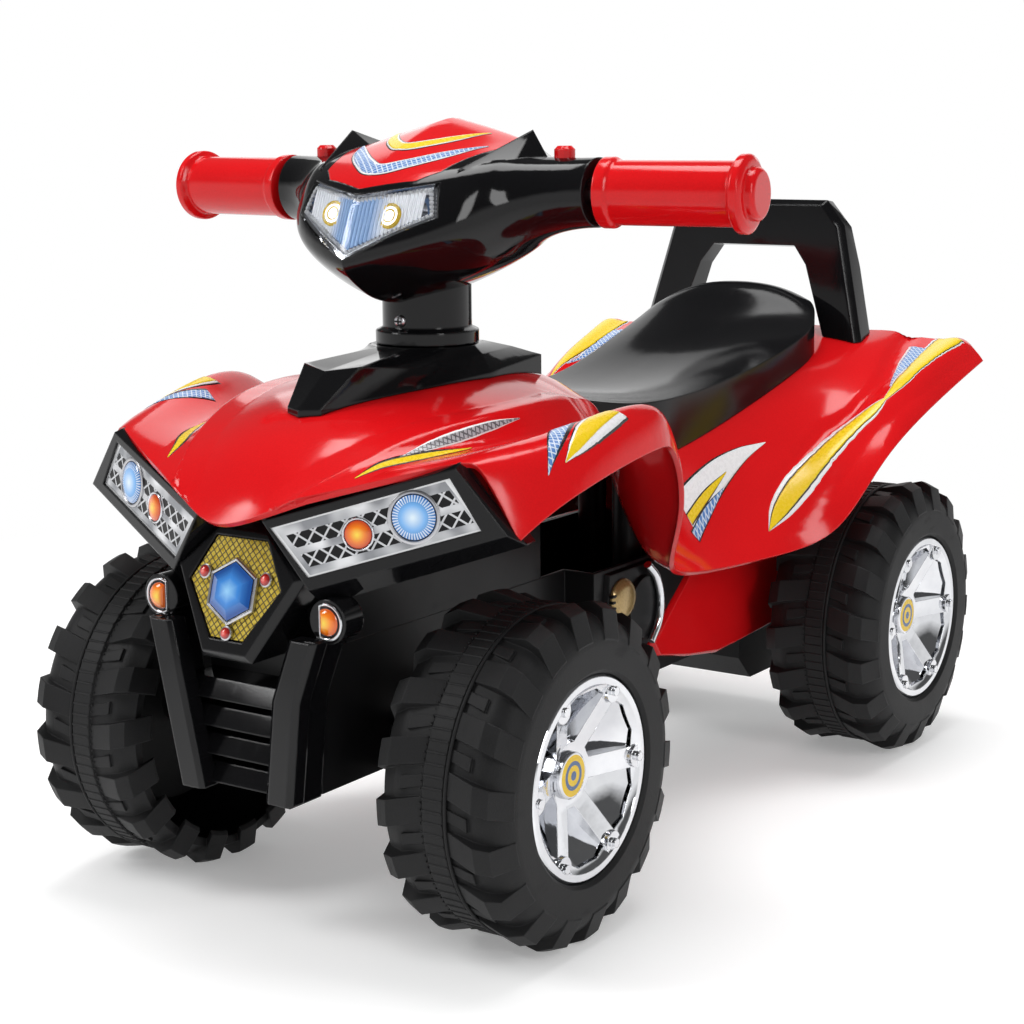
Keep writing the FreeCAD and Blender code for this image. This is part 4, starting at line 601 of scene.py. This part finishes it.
for side, word in sides:
    foot, inner, along, up, _ = panelFrame(side)
    mesh = skins["lamp_panel_" + word].data
    flat = mesh.uv_layers.new(name="panelFlat")
    for loop in mesh.loops:
        spot = mesh.vertices[loop.vertex_index].co / mm
        flat.data[loop.index].uv = ((spot - inner).dot(along), (spot - foot).dot(up))


def ringOutline(radius, count=48):
    turns = [2 * math.pi * k / count for k in range(count)]
    return [(radius * math.cos(turn), radius * math.sin(turn)) for turn in turns]


# Raised forms: an outline that shrinks share by share while it rises, closed underneath
def raised(name, places, outline, profile, body, slot, looks, *stoodFor, sharp=35.0):
    form = bmesh.new()
    polar = form.loops.layers.uv.new("lampPolar")
    count = len(outline)

    def panel(look, *corners):
        face = form.faces.new([vert for vert, _, _ in corners])
        face.material_index = look
        for loop, (_, turn, share) in zip(face.loops, corners):
            loop[polar].uv = (turn / count, share)

    for place, right, up in places:
        outward = right.cross(up)
        rings = [[form.verts.new((place + (right * x + up * y) * share + outward * rise) * mm) for x, y in outline]
                 for share, rise, _ in profile]
        crown = form.verts.new((place + outward * profile[-1][1]) * mm)
        form.faces.new(rings[0][::-1])
        for (near, _, look), (far, _, _), first, second in zip(profile, profile[1:], rings, rings[1:]):
            for k in range(count):
                after = (k + 1) % count
                panel(look, (first[k], k, near), (first[after], k + 1, near), (second[after], k + 1, far),
                      (second[k], k, far))
        last, _, look = profile[-1]
        for k in range(count):
            panel(look, (rings[-1][k], k, last), (rings[-1][(k + 1) % count], k + 1, last), (crown, k + 0.5, 0.0))
    mesh = meshFrom(form, name, looks)
    mesh.set_sharp_from_angle(angle=math.radians(sharp))
    return settle(link(bpy.data.objects.new(name, mesh)), body, slot, *stoodFor)


# Lamps domed on the two panels: how far along and up, radius; a profile row is share, rise and look
panelLamps = {
    "main": Values(along=71.0, up=14.4, radius=13.0, looks=("steel", "black_gloss", "lamp_blue")),
    "signal": Values(along=42.0, up=13.6, radius=8.2, looks=("chrome", "black_gloss", "lamp_orange")),
}
lampProfile = [(1.0, -0.3, 0), (1.0, 0.7, 0), (0.96, 1.0, 0), (0.90, 1.0, 0), (0.87, 0.6, 1), (0.83, 0.6, 2),
               (0.80, 1.0, 2), (0.62, 1.6, 2), (0.40, 2.0, 2), (0.18, 2.2, 2)]
for side, word in sides:
    foot, _, along, up, right = panelFrame(side)
    for kind, lamp in panelLamps.items():
        place = foot + along * (lamp.along - panelPrint.skew) + up * lamp.up
        raised("panel_" + kind + "_lamp_" + word, [(place, right, up)], ringOutline(lamp.radius), lampProfile,
               "frame", "panel_silver", lamp.looks)

# Round lamp heads on the guard: a lens that is flat on its inner side
signalHead = Values(
    x=54.0, y=-279.24, z=170.5, radius=9.3, flat=4.6, back=0.6, looks=("chrome", "black_gloss", "lamp_orange"),
    profile=[(1.0, -0.6, 0), (1.0, 1.3, 0), (0.95, 1.8, 0), (0.88, 1.7, 0), (0.86, 1.2, 1), (0.72, 1.4, 2),
             (0.66, 2.4, 2), (0.46, 3.4, 2), (0.2, 3.9, 2)])
for side, word in sides:
    node = "blinker_" + word
    outline = [(side * max(side * x, -signalHead.flat), y) for x, y in ringOutline(signalHead.radius)]
    place = Vector((side * signalHead.x, signalHead.y + signalHead.back, signalHead.z))
    raised(node + "_lens", [(place, xWay, zWay)], outline, signalHead.profile, "frame", "lamp_orange",
           signalHead.looks, node)

# Badge: a cut stone in a bezel with three studs round it, on the gold net
badge = Values(
    face=(0.0, -285.24, 180.0), lean=0.3, stoneSharp=12.0,
    stone=[(13.2, -7.4), (13.2, 7.4), (0.0, 15.2), (-13.2, 7.4), (-13.2, -7.4), (0.0, -15.2)],
    stoneProfile=[(1.12, -0.6, 0), (1.12, 1.2, 0), (1.06, 1.9, 0), (1.0, 1.5, 1), (0.96, 1.6, 2), (0.62, 3.6, 2),
                  (0.02, 4.4, 2)], studs=[(-19.5, 8.0), (19.5, 8.0), (0.0, -20.6)], studRadius=2.9, studSides=24,
    studProfile=[(1.25, -0.4, 0), (1.25, 0.7, 0), (1.0, 1.0, 1), (0.8, 1.9, 1), (0.4, 2.5, 1)])
badgeUp = Vector((0.0, badge.lean, 1.0)).normalized()
badgeFoot = Vector(badge.face)
raised("badge_stone", [(badgeFoot, xWay, badgeUp)], badge.stone, badge.stoneProfile, "frame", "badge_gold",
       ("steel", "black_gloss", "lamp_stone"), sharp=badge.stoneSharp)
raised("badge_studs", [(badgeFoot + xWay * x + badgeUp * y, xWay, badgeUp) for x, y in badge.studs],
       ringOutline(badge.studRadius, badge.studSides), badge.studProfile, "frame", "badge_gold",
       ("steel", "lamp_red"))

# Headlamp bulbs
bulb = Values(
    x=17.0, y=-154.84, z=359.0, radius=7.0, sides=32,
    profile=[(1.0, 0.0, 0), (1.0, 2.0, 0), (0.86, 3.2, 0), (0.70, 3.0, 1), (0.55, 3.6, 1), (0.3, 4.6, 1)])
raised("headlamp_bulbs", [(Vector((side * bulb.x, bulb.y, bulb.z)), xWay, zWay) for side, _ in sides],
       ringOutline(bulb.radius, bulb.sides), bulb.profile, bodyOf["headlamp_leds"], "lamp_orange",
       ("chrome", "lamp_orange"), "headlamp_leds")

# Wheel caps with plain rings
cap = Values(
    sides=40, looks=("chrome", "cap_yellow", "cap_blue"),
    profile=[(1.0, 0.0, 0), (1.0, 1.5, 0), (0.95, 2.0, 0), (0.88, 2.1, 1), (0.62, 2.25, 2), (0.44, 2.3, 1),
             (0.2, 2.35, 2)])
for node in named("hub_cap_"):
    low, high, hub, side = boxOf(node)
    place = Vector((low.x if side > 0 else high.x, hub.y, hub.z))
    raised(node + "_face", [(place, Vector((0, side, 0)), zWay)], ringOutline((high.y - low.y) / 2, cap.sides),
           cap.profile, bodyOf[node], "cap_yellow", cap.looks, node)

# The cross-headed screw on the column: a dome, and the cross sunk in it
screw = Values(
    dome=[(1.0, 0.0, 0), (1.0, 0.5, 0), (0.84, 1.1, 0), (0.5, 1.5, 0)], domeTall=1.5, sides=28, arm=2.3, slot=0.55,
    sunkTo=0.6, proud=0.05, crown=0.08, crownShare=0.9)
low, high, hub, _ = boxOf("column_screw")
tall = high.y - low.y
screwAxes = (Vector((hub.x, high.y, hub.z)), xWay, zWay)
raised("column_screw_head", [screwAxes], ringOutline((high.z - low.z) / 2, screw.sides),
       [(share, rise * tall / screw.domeTall, look) for share, rise, look in screw.dome],
       bodyOf["column_screw"], "steel", ("steel",), "column_screw")
a, b = screw.arm, screw.slot
cross = [(a, -b), (a, b), (b, b), (b, a), (-b, a), (-b, b), (-a, b), (-a, -b), (-b, -b), (-b, -a), (b, -a), (b, -b)]
crossProfile = [(1.0, tall * screw.sunkTo, 0), (1.0, tall + screw.proud, 0),
                (screw.crownShare, tall + screw.crown, 0)]
raised("column_screw_cross", [screwAxes], cross, crossProfile, bodyOf["column_screw"], "steel", ("black_satin",))


# Lofted forms: one ring of places after another, capped unless the run closes on itself
def lofted(name, rings, closed, body, slot, look, sharp=30.0):
    form = bmesh.new()
    rows = [[form.verts.new(Vector(spot) * mm) for spot in ring] for ring in rings]
    count = len(rings[0])
    pairs = list(zip(rows, rows[1:])) + ([(rows[-1], rows[0])] if closed else [])
    for first, second in pairs:
        for k in range(count):
            after = (k + 1) % count
            form.faces.new((first[k], first[after], second[after], second[k]))
    if not closed:
        form.faces.new(rows[0][::-1])
        form.faces.new(rows[-1])
    bmesh.ops.recalc_face_normals(form, faces=form.faces)
    mesh = meshFrom(form, name, [look])
    mesh.set_sharp_from_angle(angle=math.radians(sharp))
    return settle(link(bpy.data.objects.new(name, mesh)), body, slot)


# Bright dish behind the spokes: radius and reach from the middle of the tyre
rimDish = Values(
    outline=[(13.2, 14.8), (46.0, 14.8), (46.0, 33.0), (43.0, 31.2), (38.0, 27.0), (32.0, 23.0), (25.0, 19.8),
             (18.0, 17.9), (13.2, 17.4)], steps=72)
for node in named("rim_"):
    _, _, hub, side = boxOf(node.replace("rim_", "tyre_"))
    rings = [[(hub.x + side * reach, hub.y + radius * c, hub.z + radius * s) for radius, reach in rimDish.outline]
             for c, s in ringOutline(1.0, rimDish.steps)]
    lofted(node + "_dish", rings, True, bodyOf[node], "chrome", "chrome")

# Broad rails over the guard's posts: places up the post, and the section round each
guardRail = Values(
    run=[(31.5, -288.24, 77.0), (40.05, -291.24, 131.0), (49.6, -288.5, 161.6)],
    section=[(-11.5, 9.0), (-11.5, -0.4), (-9.0, -2.0), (2.0, -2.0), (4.8, 0.8), (4.8, 9.0)])
for side, word in sides:
    rings = [[(side * (x + across), y + back, z) for across, back in guardRail.section] for x, y, z in guardRail.run]
    lofted("guard_rail_" + word, rings, False, "frame", "black_gloss", "black_gloss")
print("lamps, badge, caps and rails set")


# Repeats: trees that are run once on a base mesh and kept as plain meshes
repeats = Values(rodSides=8, beadSteps=1, sharp=50.0)


def growTree(name, inputs):
    tree = bpy.data.node_groups.new(name, "GeometryNodeTree")
    for label, kind in {"Geometry": "Geometry", **inputs, "Finish": "Material"}.items():
        tree.interface.new_socket(label, in_out="INPUT", socket_type="NodeSocket" + kind)
    tree.interface.new_socket("Geometry", in_out="OUTPUT", socket_type="NodeSocketGeometry")
    return tree, wire(tree, "NodeGroupInput").outputs, wire(tree, "NodeGroupOutput")


def grow(tree, kind, sources):
    return wire(tree, "GeometryNode" + kind, sources).outputs[0]


def closeTree(tree, shape, given, put):
    real = grow(tree, "RealizeInstances", {"Geometry": shape})
    feed(put, {0: grow(tree, "SetMaterial", {"Geometry": real, "Material": given["Finish"]})})
    return tree


def rodAlong(tree, path, radius):
    section = grow(tree, "CurvePrimitiveCircle", {"Resolution": repeats.rodSides, "Radius": radius})
    return grow(tree, "CurveToMesh", {"Curve": path, "Profile Curve": section, "Fill Caps": True})


def makeRibRing():
    tree, given, put = growTree("ribRing", {"Count": "Int", "Ring Radius": "Float", "Rib Start": "Vector",
                                            "Rib End": "Vector", "Rib Radius": "Float", "Centre": "Vector"})
    ring = grow(tree, "MeshCircle", {"Vertices": given["Count"], "Radius": given["Ring Radius"]})
    upright = grow(tree, "Transform", {"Geometry": ring, "Rotation": (0.0, math.pi / 2, 0.0)})
    run = grow(tree, "CurvePrimitiveLine", {"Start": given["Rib Start"], "End": given["Rib End"]})
    place = grow(tree, "InputPosition", {})
    lean = wire(tree, "FunctionNodeAlignRotationToVector", {"Vector": place}, axis="Z", pivot_axis="X")
    ribs = grow(tree, "InstanceOnPoints", {"Points": upright, "Rotation": lean.outputs[0],
                                           "Instance": rodAlong(tree, run, given["Rib Radius"])})
    moved = grow(tree, "Transform", {"Geometry": ribs, "Translation": given["Centre"]})
    return closeTree(tree, moved, given, put)


def makeBeadRow():
    tree, given, put = growTree("beadRow", {"Count": "Int", "Bead Radius": "Float"})
    path = grow(tree, "MeshToCurve", {"Mesh": given["Geometry"]})
    even = grow(tree, "ResampleCurve", {"Curve": path, "Count": given["Count"]})
    bead = grow(tree, "MeshIcoSphere", {"Radius": given["Bead Radius"], "Subdivisions": repeats.beadSteps})
    row = grow(tree, "InstanceOnPoints", {"Points": even, "Instance": bead})
    return closeTree(tree, row, given, put)


def makeRods():
    tree, given, put = growTree("roundRods", {"Rib Radius": "Float"})
    path = grow(tree, "MeshToCurve", {"Mesh": given["Geometry"]})
    return closeTree(tree, rodAlong(tree, path, given["Rib Radius"]), given, put)


ribRing, beadRow, roundRods = makeRibRing(), makeBeadRow(), makeRods()


def grown(name, tree, base, values, look, body, slot):
    piece = link(bpy.data.objects.new(name, base))
    modifier = piece.modifiers.new("grow", "NODES")
    modifier.node_group = tree
    values = {**values, "Finish": finishOf[look]}
    for item in tree.interface.items_tree:
        if item.in_out == "INPUT" and item.name in values:
            modifier[item.identifier] = values[item.name]
    applied(piece, modifier)
    piece.data.shade_smooth()
    piece.data.set_sharp_from_angle(angle=math.radians(repeats.sharp))
    return settle(piece, body, slot)


def edgeMesh(points, pairs):
    mesh = bpy.data.meshes.new("start")
    mesh.from_pydata([Vector(point) * mm for point in points], pairs, [])
    return mesh


def pathMesh(points, closed):
    last = len(points) - 1
    return edgeMesh(points, [(k, k + 1) for k in range(last)] + ([(last, 0)] if closed else []))


# Tyre tread: a ribbed middle band with a smooth cord on its outer edge and a dotted one on its inner edge
band = Values(
    middle=115.0, radius=83.1, half=5.6, ribs=92, ribRadius=0.75, cord=7.2, cordLevel=83.0, cordRadius=0.9,
    cordSteps=96, dots=150, dotRadius=0.55)
for node in named("tyre_"):
    _, _, hub, side = boxOf(node)
    body = bodyOf[node]
    grown(node + "_ribs", ribRing, bpy.data.meshes.new("start"),
          {"Count": band.ribs, "Ring Radius": band.radius * mm, "Rib Start": (-band.half * mm, 0.0, 0.0),
           "Rib End": (band.half * mm, 0.0, 0.0), "Rib Radius": band.ribRadius * mm,
           "Centre": Vector((side * band.middle, hub.y, hub.z)) * mm}, "tyre_black", body, "tyre_black")
    edges = (("_cord", roundRods, band.cord, {"Rib Radius": band.cordRadius * mm}),
             ("_dots", beadRow, -band.cord, {"Count": band.dots, "Bead Radius": band.dotRadius * mm}))
    for word, tree, reach, values in edges:
        x = side * (band.middle + reach)
        loop = [(x, hub.y + y, hub.z + z) for y, z in ringOutline(band.cordLevel, band.cordSteps)]
        grown(node + word, tree, pathMesh(loop, True), values, "tyre_black", body, "tyre_black")

# Headlamp glass: upright flutes, a beaded border and two bulb rings close behind the clear lens
glass = Values(
    half=35.0, pitch=2.0, ribRadius=0.95, y=-182.6, z=357.0, fall=0.41, sweep=0.27, top=(365.0, 0.15),
    bottom=(340.5, 0.46), beads=88, beadRadius=1.5, border=[(0, 364.6), (37.0, 370.0), (40.4, 358.0), (0, 338.8)],
    rings=[(-16.5, 357.5), (19.0, 357.0)], ringRadius=6.8, ringLift=1.0, ringSides=32,
    ringProfile=[(1.0, -0.6, 1), (1.0, 0.4, 1), (0.86, 0.7, 1), (0.74, 0.5, 0), (0.56, 0.6, 1), (0.42, 0.5, 0),
                 (0.2, 0.6, 0)])
lensBody = bodyOf["headlamp_lens"]


def behindLens(x, z):
    return (x, glass.y + glass.fall * (z - glass.z) + glass.sweep * abs(x), z)


reach = int(glass.half / glass.pitch)
ends = [behindLens(x, level + slope * abs(x)) for x in (k * glass.pitch for k in range(-reach, reach + 1))
        for level, slope in (glass.top, glass.bottom)]
grown("headlamp_flutes", roundRods, edgeMesh(ends, [(k, k + 1) for k in range(0, len(ends), 2)]),
      {"Rib Radius": glass.ribRadius * mm}, "lamp_flute", lensBody, "clear_lens")
half = glass.border
border = [behindLens(x, z) for x, z in half + [(-x, z) for x, z in half[-2:0:-1]]]
grown("headlamp_beads", beadRow, pathMesh(border, True),
      {"Count": glass.beads, "Bead Radius": glass.beadRadius * mm}, "bead_glass", lensBody, "chrome")
glassUp = Vector((0.0, glass.fall, 1.0)).normalized()
glassOut = xWay.cross(glassUp) * glass.ringLift
raised("headlamp_rings", [(Vector(behindLens(x, z)) + glassOut, xWay, glassUp) for x, z in glass.rings],
       ringOutline(glass.ringRadius, glass.ringSides), glass.ringProfile, lensBody, "lamp_orange",
       ("steel", "cap_yellow"))


def threaded(points, count):
    # an even run of places on a smooth line through the given points
    ends = [2 * points[0] - points[1]] + points + [2 * points[-1] - points[-2]]
    run = []
    for step in range(count + 1):
        at = step / count * (len(points) - 1)
        leg = min(int(at), len(points) - 2)
        t = at - leg
        a, b, c, d = ends[leg:leg + 4]
        run.append(0.5 * (2 * b + (c - a) * t + (2 * a - 5 * b + 4 * c - d) * t * t
                          + (3 * b - a - 3 * c + d) * t ** 3))
    return run


# Engine side: a tan rounded cover and a bright pipe bent round it
engine = Values(
    face=58.6, y=-17.0, z=131.0, across=13.0, tall=12.0, sides=36,
    profile=[(1.0, 0.0, 0), (1.0, 1.6, 0), (0.9, 3.2, 0), (0.66, 4.6, 0), (0.3, 5.2, 0)],
    pipe=[(4.0, 148.0), (14.0, 139.0), (19.0, 126.0), (17.0, 112.0), (8.0, 101.0)], pipeOut=64.0, pipeRadius=2.6,
    pipeSteps=40)
for side, word in sides:
    outline = [(x * engine.across, y * engine.tall) for x, y in ringOutline(1.0, engine.sides)]
    place = Vector((side * engine.face, engine.y, engine.z))
    raised("engine_cover_" + word, [(place, Vector((0, side, 0)), zWay)], outline, engine.profile, "frame",
           "black_satin", ("cover_tan",))
    run = threaded([Vector((side * engine.pipeOut, y, z)) for y, z in engine.pipe], engine.pipeSteps)
    grown("engine_pipe_" + word, roundRods, pathMesh(run, False), {"Rib Radius": engine.pipeRadius * mm},
          "chrome", "frame", "chrome")
print("tread bands, headlamp glass and engine pipes grown")


# Stickers, in mm: how high the first sheet and each next one lies, the film's thickness, and where each is laid from
sticker = Values(
    lift=0.14, sheet=0.14, film=0.3, reach=22.0, steps=56, columns=8, slimmest=0.05,
    start={"rear": (0.72, 0.0, 0.70), "fender": (0.25, -0.35, 0.90), "brow": (0.25, -0.45, 0.86),
           "flank": (0.93, -0.1, 0.36), "cover": (0.0, -0.42, 0.90)})
# Each stripe runs through a few places with a half width at each; a layer is an ink, its share of the width and its
# drift to one side, and sheets is how many lie under the first layer
stripes = [
    Values(
        name="rear_leaf",
        path=[(94.1, 98.6, 155.1), (95.6, 112.0, 167.0), (98.8, 128.0, 180.0), (104.7, 147.0, 194.5),
              (111.9, 166.5, 208.0), (119.0, 184.0, 218.5), (122.4, 196.0, 225.0)],
        half=(0.3, 7.4, 10.4, 10.6, 8.2, 4.6, 0.4),
        layers=[("ink_white", 1.0, 0.0), ("ink_black", 0.70, 0.0), ("ink_yellow", 0.60, 0.0)]),
    Values(
        name="rear_flare",
        path=[(120.5, 190.0, 221.0), (123.5, 206.0, 229.5), (125.5, 230.0, 239.5), (127.0, 258.0, 248.5),
              (129.5, 286.0, 256.0)], half=(0.3, 3.2, 6.4, 10.2, 14.0),
        layers=[("ink_white", 1.0, 0.0), ("ink_black", 0.86, 0.0), ("ink_yellow", 0.78, 0.0)]),
    Values(
        name="rear_wedge", path=[(119.6, 208.0, 231.0), (118.2, 234.0, 241.6), (117.0, 268.0, 252.2)],
        half=(0.3, 3.6, 7.6), layers=[("ink_white", 1.0, 0.0), ("ink_blue", 0.8, 0.0)]),
    Values(
        name="fender_sweep",
        path=[(139.1, -201.0, 244.0), (138.3, -187.0, 252.0), (136.3, -170.7, 258.6), (134.7, -151.2, 262.5)],
        half=(0.3, 5.4, 8.2, 9.4),
        layers=[("ink_black", 1.0, 0.0), ("ink_white", 0.88, 0.0), ("ink_yellow", 0.56, 0.22)]),
    Values(
        name="fender_wedge",
        path=[(137.1, -213.0, 239.4), (133.0, -202.0, 250.0), (126.0, -186.0, 256.0), (118.0, -168.0, 257.0)],
        half=(0.3, 3.4, 5.6, 6.8), layers=[("ink_black", 1.0, 0.0), ("ink_blue", 0.74, 0.1)]),
    Values(
        name="brow_sweep",
        path=[(60.1, -263.4, 237.6), (65.0, -249.0, 241.9), (72.5, -236.1, 244.5), (79.8, -221.5, 246.0),
              (87.0, -205.0, 247.0)], half=(0.3, 3.4, 4.6, 3.6, 0.3),
        layers=[("ink_black", 1.0, 0.0), ("ink_yellow", 0.62, -0.16)]),
    Values(
        name="brow_check",
        path=[(68.0, -238.0, 245.0), (73.6, -219.4, 248.5), (79.4, -202.0, 251.4), (84.6, -184.1, 253.6),
              (89.2, -166.0, 254.6)], half=(0.3, 2.8, 3.4, 2.6, 0.3),
        layers=[("ink_white", 1.0, 0.0), ("ink_grey", 0.72, 0.0)]),
    Values(
        name="flank_fin",
        path=[(66.2, 44.0, 172.0), (66.1, 66.0, 182.0), (67.2, 86.0, 191.6), (70.0, 107.8, 199.5),
              (75.2, 128.0, 204.4)], half=(15.0, 13.0, 9.4, 4.8, 0.3),
        layers=[("ink_black", 1.0, 0.0), ("ink_white", 0.90, 0.0)]),
    Values(
        name="flank_ray", sheets=2, path=[(67.6, 46.0, 168.0), (67.0, 68.0, 179.6), (67.8, 90.0, 190.4)],
        half=(4.4, 3.6, 0.3), layers=[("ink_black", 1.0, 0.0), ("ink_yellow", 0.76, 0.0)]),
    Values(
        name="flank_wedge", sheets=2, path=[(71.8, 47.0, 158.0), (69.6, 66.0, 170.6), (69.4, 84.0, 181.6)],
        half=(4.6, 3.8, 0.3), layers=[("ink_black", 1.0, 0.0), ("ink_blue", 0.80, 0.0)]),
    Values(
        name="cover_chevron", on="cowl_cover",
        path=[(-41.0, -122.0, 391.6), (-28.0, -142.0, 387.4), (-14.0, -156.0, 382.4), (0.0, -164.0, 378.6),
              (14.0, -156.0, 382.4), (28.0, -142.0, 387.4), (41.0, -122.0, 391.6)],
        half=(0.4, 4.6, 5.6, 6.0, 5.6, 4.6, 0.4),
        layers=[("ink_black", 1.0, 0.0), ("ink_white", 0.90, 0.0), ("ink_blue", 0.70, 0.0)]),
    Values(
        name="cover_bar", on="cowl_cover",
        path=[(-30.0, -104.0, 399.6), (-21.0, -122.0, 396.4), (-11.0, -134.0, 393.0), (0.0, -141.0, 390.4),
              (11.0, -134.0, 393.0), (21.0, -122.0, 396.4), (30.0, -104.0, 399.6)],
        half=(0.4, 3.6, 4.4, 4.8, 4.4, 3.6, 0.4),
        layers=[("ink_black", 1.0, 0.0), ("ink_white", 0.86, 0.0), ("ink_yellow", 0.66, 0.0)]),
]


def surfaceOf(node):
    mesh = skins[node].data
    return BVHTree.FromPolygons([v.co.copy() for v in mesh.vertices], [tuple(p.vertices) for p in mesh.polygons])


surfaces = {node: surfaceOf(node) for node in ("upper_shell", "cowl_cover")}


def stripePiece(stripe, node, side, ending):
    surface = surfaces[node]
    steps, columns = sticker.steps, sticker.columns
    x, y, z = sticker.start[stripe.name.split("_")[0]]
    above = Vector((side * x, y, z)).normalized()

    def laid(spot):
        # the place under the spot, or the nearest one, and its outward direction
        hit = surface.ray_cast(spot + above * sticker.reach * mm, -above)
        return hit[:2] if hit[0] else surface.find_nearest(spot)[:2]

    middle = threaded([Vector((side * x, y, z)) * mm for x, y, z in stripe.path], steps)
    halves = [h.x for h in threaded([Vector((h, 0, 0)) * mm for h in stripe.half], steps)]
    film = bmesh.new()
    for layer, (_, share, drift) in enumerate(stripe.layers):
        height = sticker.lift + (layer + getattr(stripe, "sheets", 0)) * sticker.sheet
        rows = []
        for index, spot in enumerate(middle):
            tangent = middle[min(index + 1, steps)] - middle[max(index - 1, 0)]
            foot, outward = laid(spot)
            across = outward.cross(tangent).normalized() * side
            half = max(halves[index], sticker.slimmest * mm)
            row = []
            for column in range(columns + 1):
                offset = (2 * column / columns - 1) * share + drift * share
                near, facing = laid(foot + across * half * offset)
                row.append(film.verts.new(near + facing * height * mm))
            rows.append(row)
        for first, second in zip(rows, rows[1:]):
            for a, b, c, d in zip(first, first[1:], second[1:], second):
                face = film.faces.new((a, b, c, d) if side > 0 else (d, c, b, a))
                face.material_index = layer
    bmesh.ops.recalc_face_normals(film, faces=film.faces)
    film.normal_update()
    film.faces.ensure_lookup_table()
    probe = film.faces[len(film.faces) // 6]  # a face well inside the first layer
    if probe.normal.dot(surface.find_nearest(probe.calc_center_median())[1]) < 0:
        bmesh.ops.reverse_faces(film, faces=film.faces)
    mesh = meshFrom(film, stripe.name, [ink for ink, _, _ in stripe.layers])
    piece = link(bpy.data.objects.new(stripe.name + ending, mesh))
    solid = piece.modifiers.new("film", "SOLIDIFY")
    solid.thickness, solid.offset = sticker.film * mm, -1.0
    applied(piece, solid)
    return settle(piece, bodyOf[node], "panel_silver")


for stripe in stripes:
    if hasattr(stripe, "on"):
        stripePiece(stripe, stripe.on, 1, "")
    else:
        for side, word in sides:
            stripePiece(stripe, "upper_shell", side, "_" + word)
print("stripes laid:", len(stripes))


# Studio: white backdrop, soft lamps, camera at the photographed angle
studio = Values(
    floorHalf=30.0, floorTone=0.88, floorRough=0.9, floorSpecular=0.1, floorLift=0.26, whiteFrom=0.42, whiteTo=0.95,
    skyFill=0.46, skyTop=0.10, skyBand=(0.05, 0.26), aim=(0.0, 0.0, 0.2),
    lamps=[("keyBox", (-1.3, -1.3, 1.5), 0.55, 1.1, 20.0), ("sideBox", (1.9, -0.9, 1.2), 0.5, 1.2, 13.0),
           ("topBox", (-0.1, 0.25, 2.0), 1.2, 0.8, 20.0), ("backBox", (-0.8, 1.9, 1.2), 2.2, 1.2, 9.0)])
shot = Values(
    azimuth=34.606, elevation=10.502, roll=-0.547, aim=(0.0, -0.05649, 0.1881), distance=1.2276, lens=75.09,
    sensor=36.0, shiftX=0.0135, shiftY=-0.0091, nearest=0.01)
white = (1.0, 1.0, 1.0)


def seenDirectly(tree):
    path = wire(tree, "ShaderNodeLightPath").outputs
    both = sums("ADD", path["Is Camera Ray"], path["Is Glossy Ray"], clamp=True)
    return sums("ADD", both, path["Is Transmission Ray"], clamp=True)


def buildFloor():
    half, tone = studio.floorHalf, studio.floorTone
    mesh = bpy.data.meshes.new("floor")
    mesh.from_pydata([(-half, -half, 0), (half, -half, 0), (half, half, 0), (-half, half, 0)], [], [(0, 1, 2, 3)])
    floor = link(bpy.data.objects.new("floor", mesh))
    material, tree, shader = newMaterial("floor_paper")
    seen = seenDirectly(tree)
    feed(shader, {
        "Base Color": (tone, tone, tone), "Roughness": studio.floorRough,
        "Specular IOR Level": studio.floorSpecular, "Emission Color": white,
        "Emission Strength": sums("MULTIPLY", seen, studio.floorLift),
    })
    away = wire(tree, "ShaderNodeVectorMath", {0: objectSpot(tree)}, operation="LENGTH")
    far = ranged(away.outputs["Value"], studio.whiteFrom, studio.whiteTo)
    paper = wire(tree, "ShaderNodeEmission", {"Strength": 1.0})
    mixed = wire(tree, "ShaderNodeMixShader", {0: sums("MULTIPLY", seen, far), 1: shader.outputs[0],
                                               2: paper.outputs[0]})
    feed(tree.nodes["Material Output"], {0: mixed.outputs[0]})
    mesh.materials.append(material)


def buildSky():
    world = bpy.data.worlds.new("studioSky")
    world.use_nodes = True
    tree = world.node_tree
    height = axesOf(wire(tree, "ShaderNodeTexCoord").outputs["Generated"])[2]
    shown = ranged(height, *studio.skyBand, 1.0, studio.skyTop)
    eye = wire(tree, "ShaderNodeLightPath").outputs["Is Camera Ray"]
    fill = wire(tree, "ShaderNodeMix", {0: seenDirectly(tree), 2: studio.skyFill, 3: sums("MAXIMUM", shown, eye)})
    feed(tree.nodes["Background"], {"Color": white, "Strength": fill.outputs[0]})
    scene.world = world


def buildLamps():
    for name, place, width, height, watts in studio.lamps:
        lamp = bpy.data.lights.new(name, "AREA")
        lamp.shape = "RECTANGLE"
        lamp.size, lamp.size_y, lamp.energy = width, height, watts
        box = link(bpy.data.objects.new(name, lamp))
        box.location = place
        box.rotation_euler = (Vector(studio.aim) - Vector(place)).to_track_quat("-Z", "Y").to_euler()
        box.visible_camera = False


def buildCamera():
    azimuth, elevation = math.radians(shot.azimuth), math.radians(shot.elevation)
    gaze = Vector((-math.sin(azimuth) * math.cos(elevation), math.cos(azimuth) * math.cos(elevation),
                   -math.sin(elevation)))
    lens = bpy.data.cameras.new("camera")
    lens.lens, lens.sensor_width, lens.clip_start = shot.lens, shot.sensor, shot.nearest
    lens.shift_x, lens.shift_y = shot.shiftX, shot.shiftY
    camera = link(bpy.data.objects.new("camera", lens))
    spot = Vector(shot.aim) - gaze * shot.distance
    turn = gaze.to_track_quat("-Z", "Y").to_matrix() @ Matrix.Rotation(math.radians(shot.roll), 3, "Z")
    camera.matrix_world = Matrix.Translation(spot) @ turn.to_4x4()
    scene.camera = camera


buildFloor()
buildSky()
buildLamps()
buildCamera()
scene.view_settings.view_transform = "Standard"
print("studio ready")
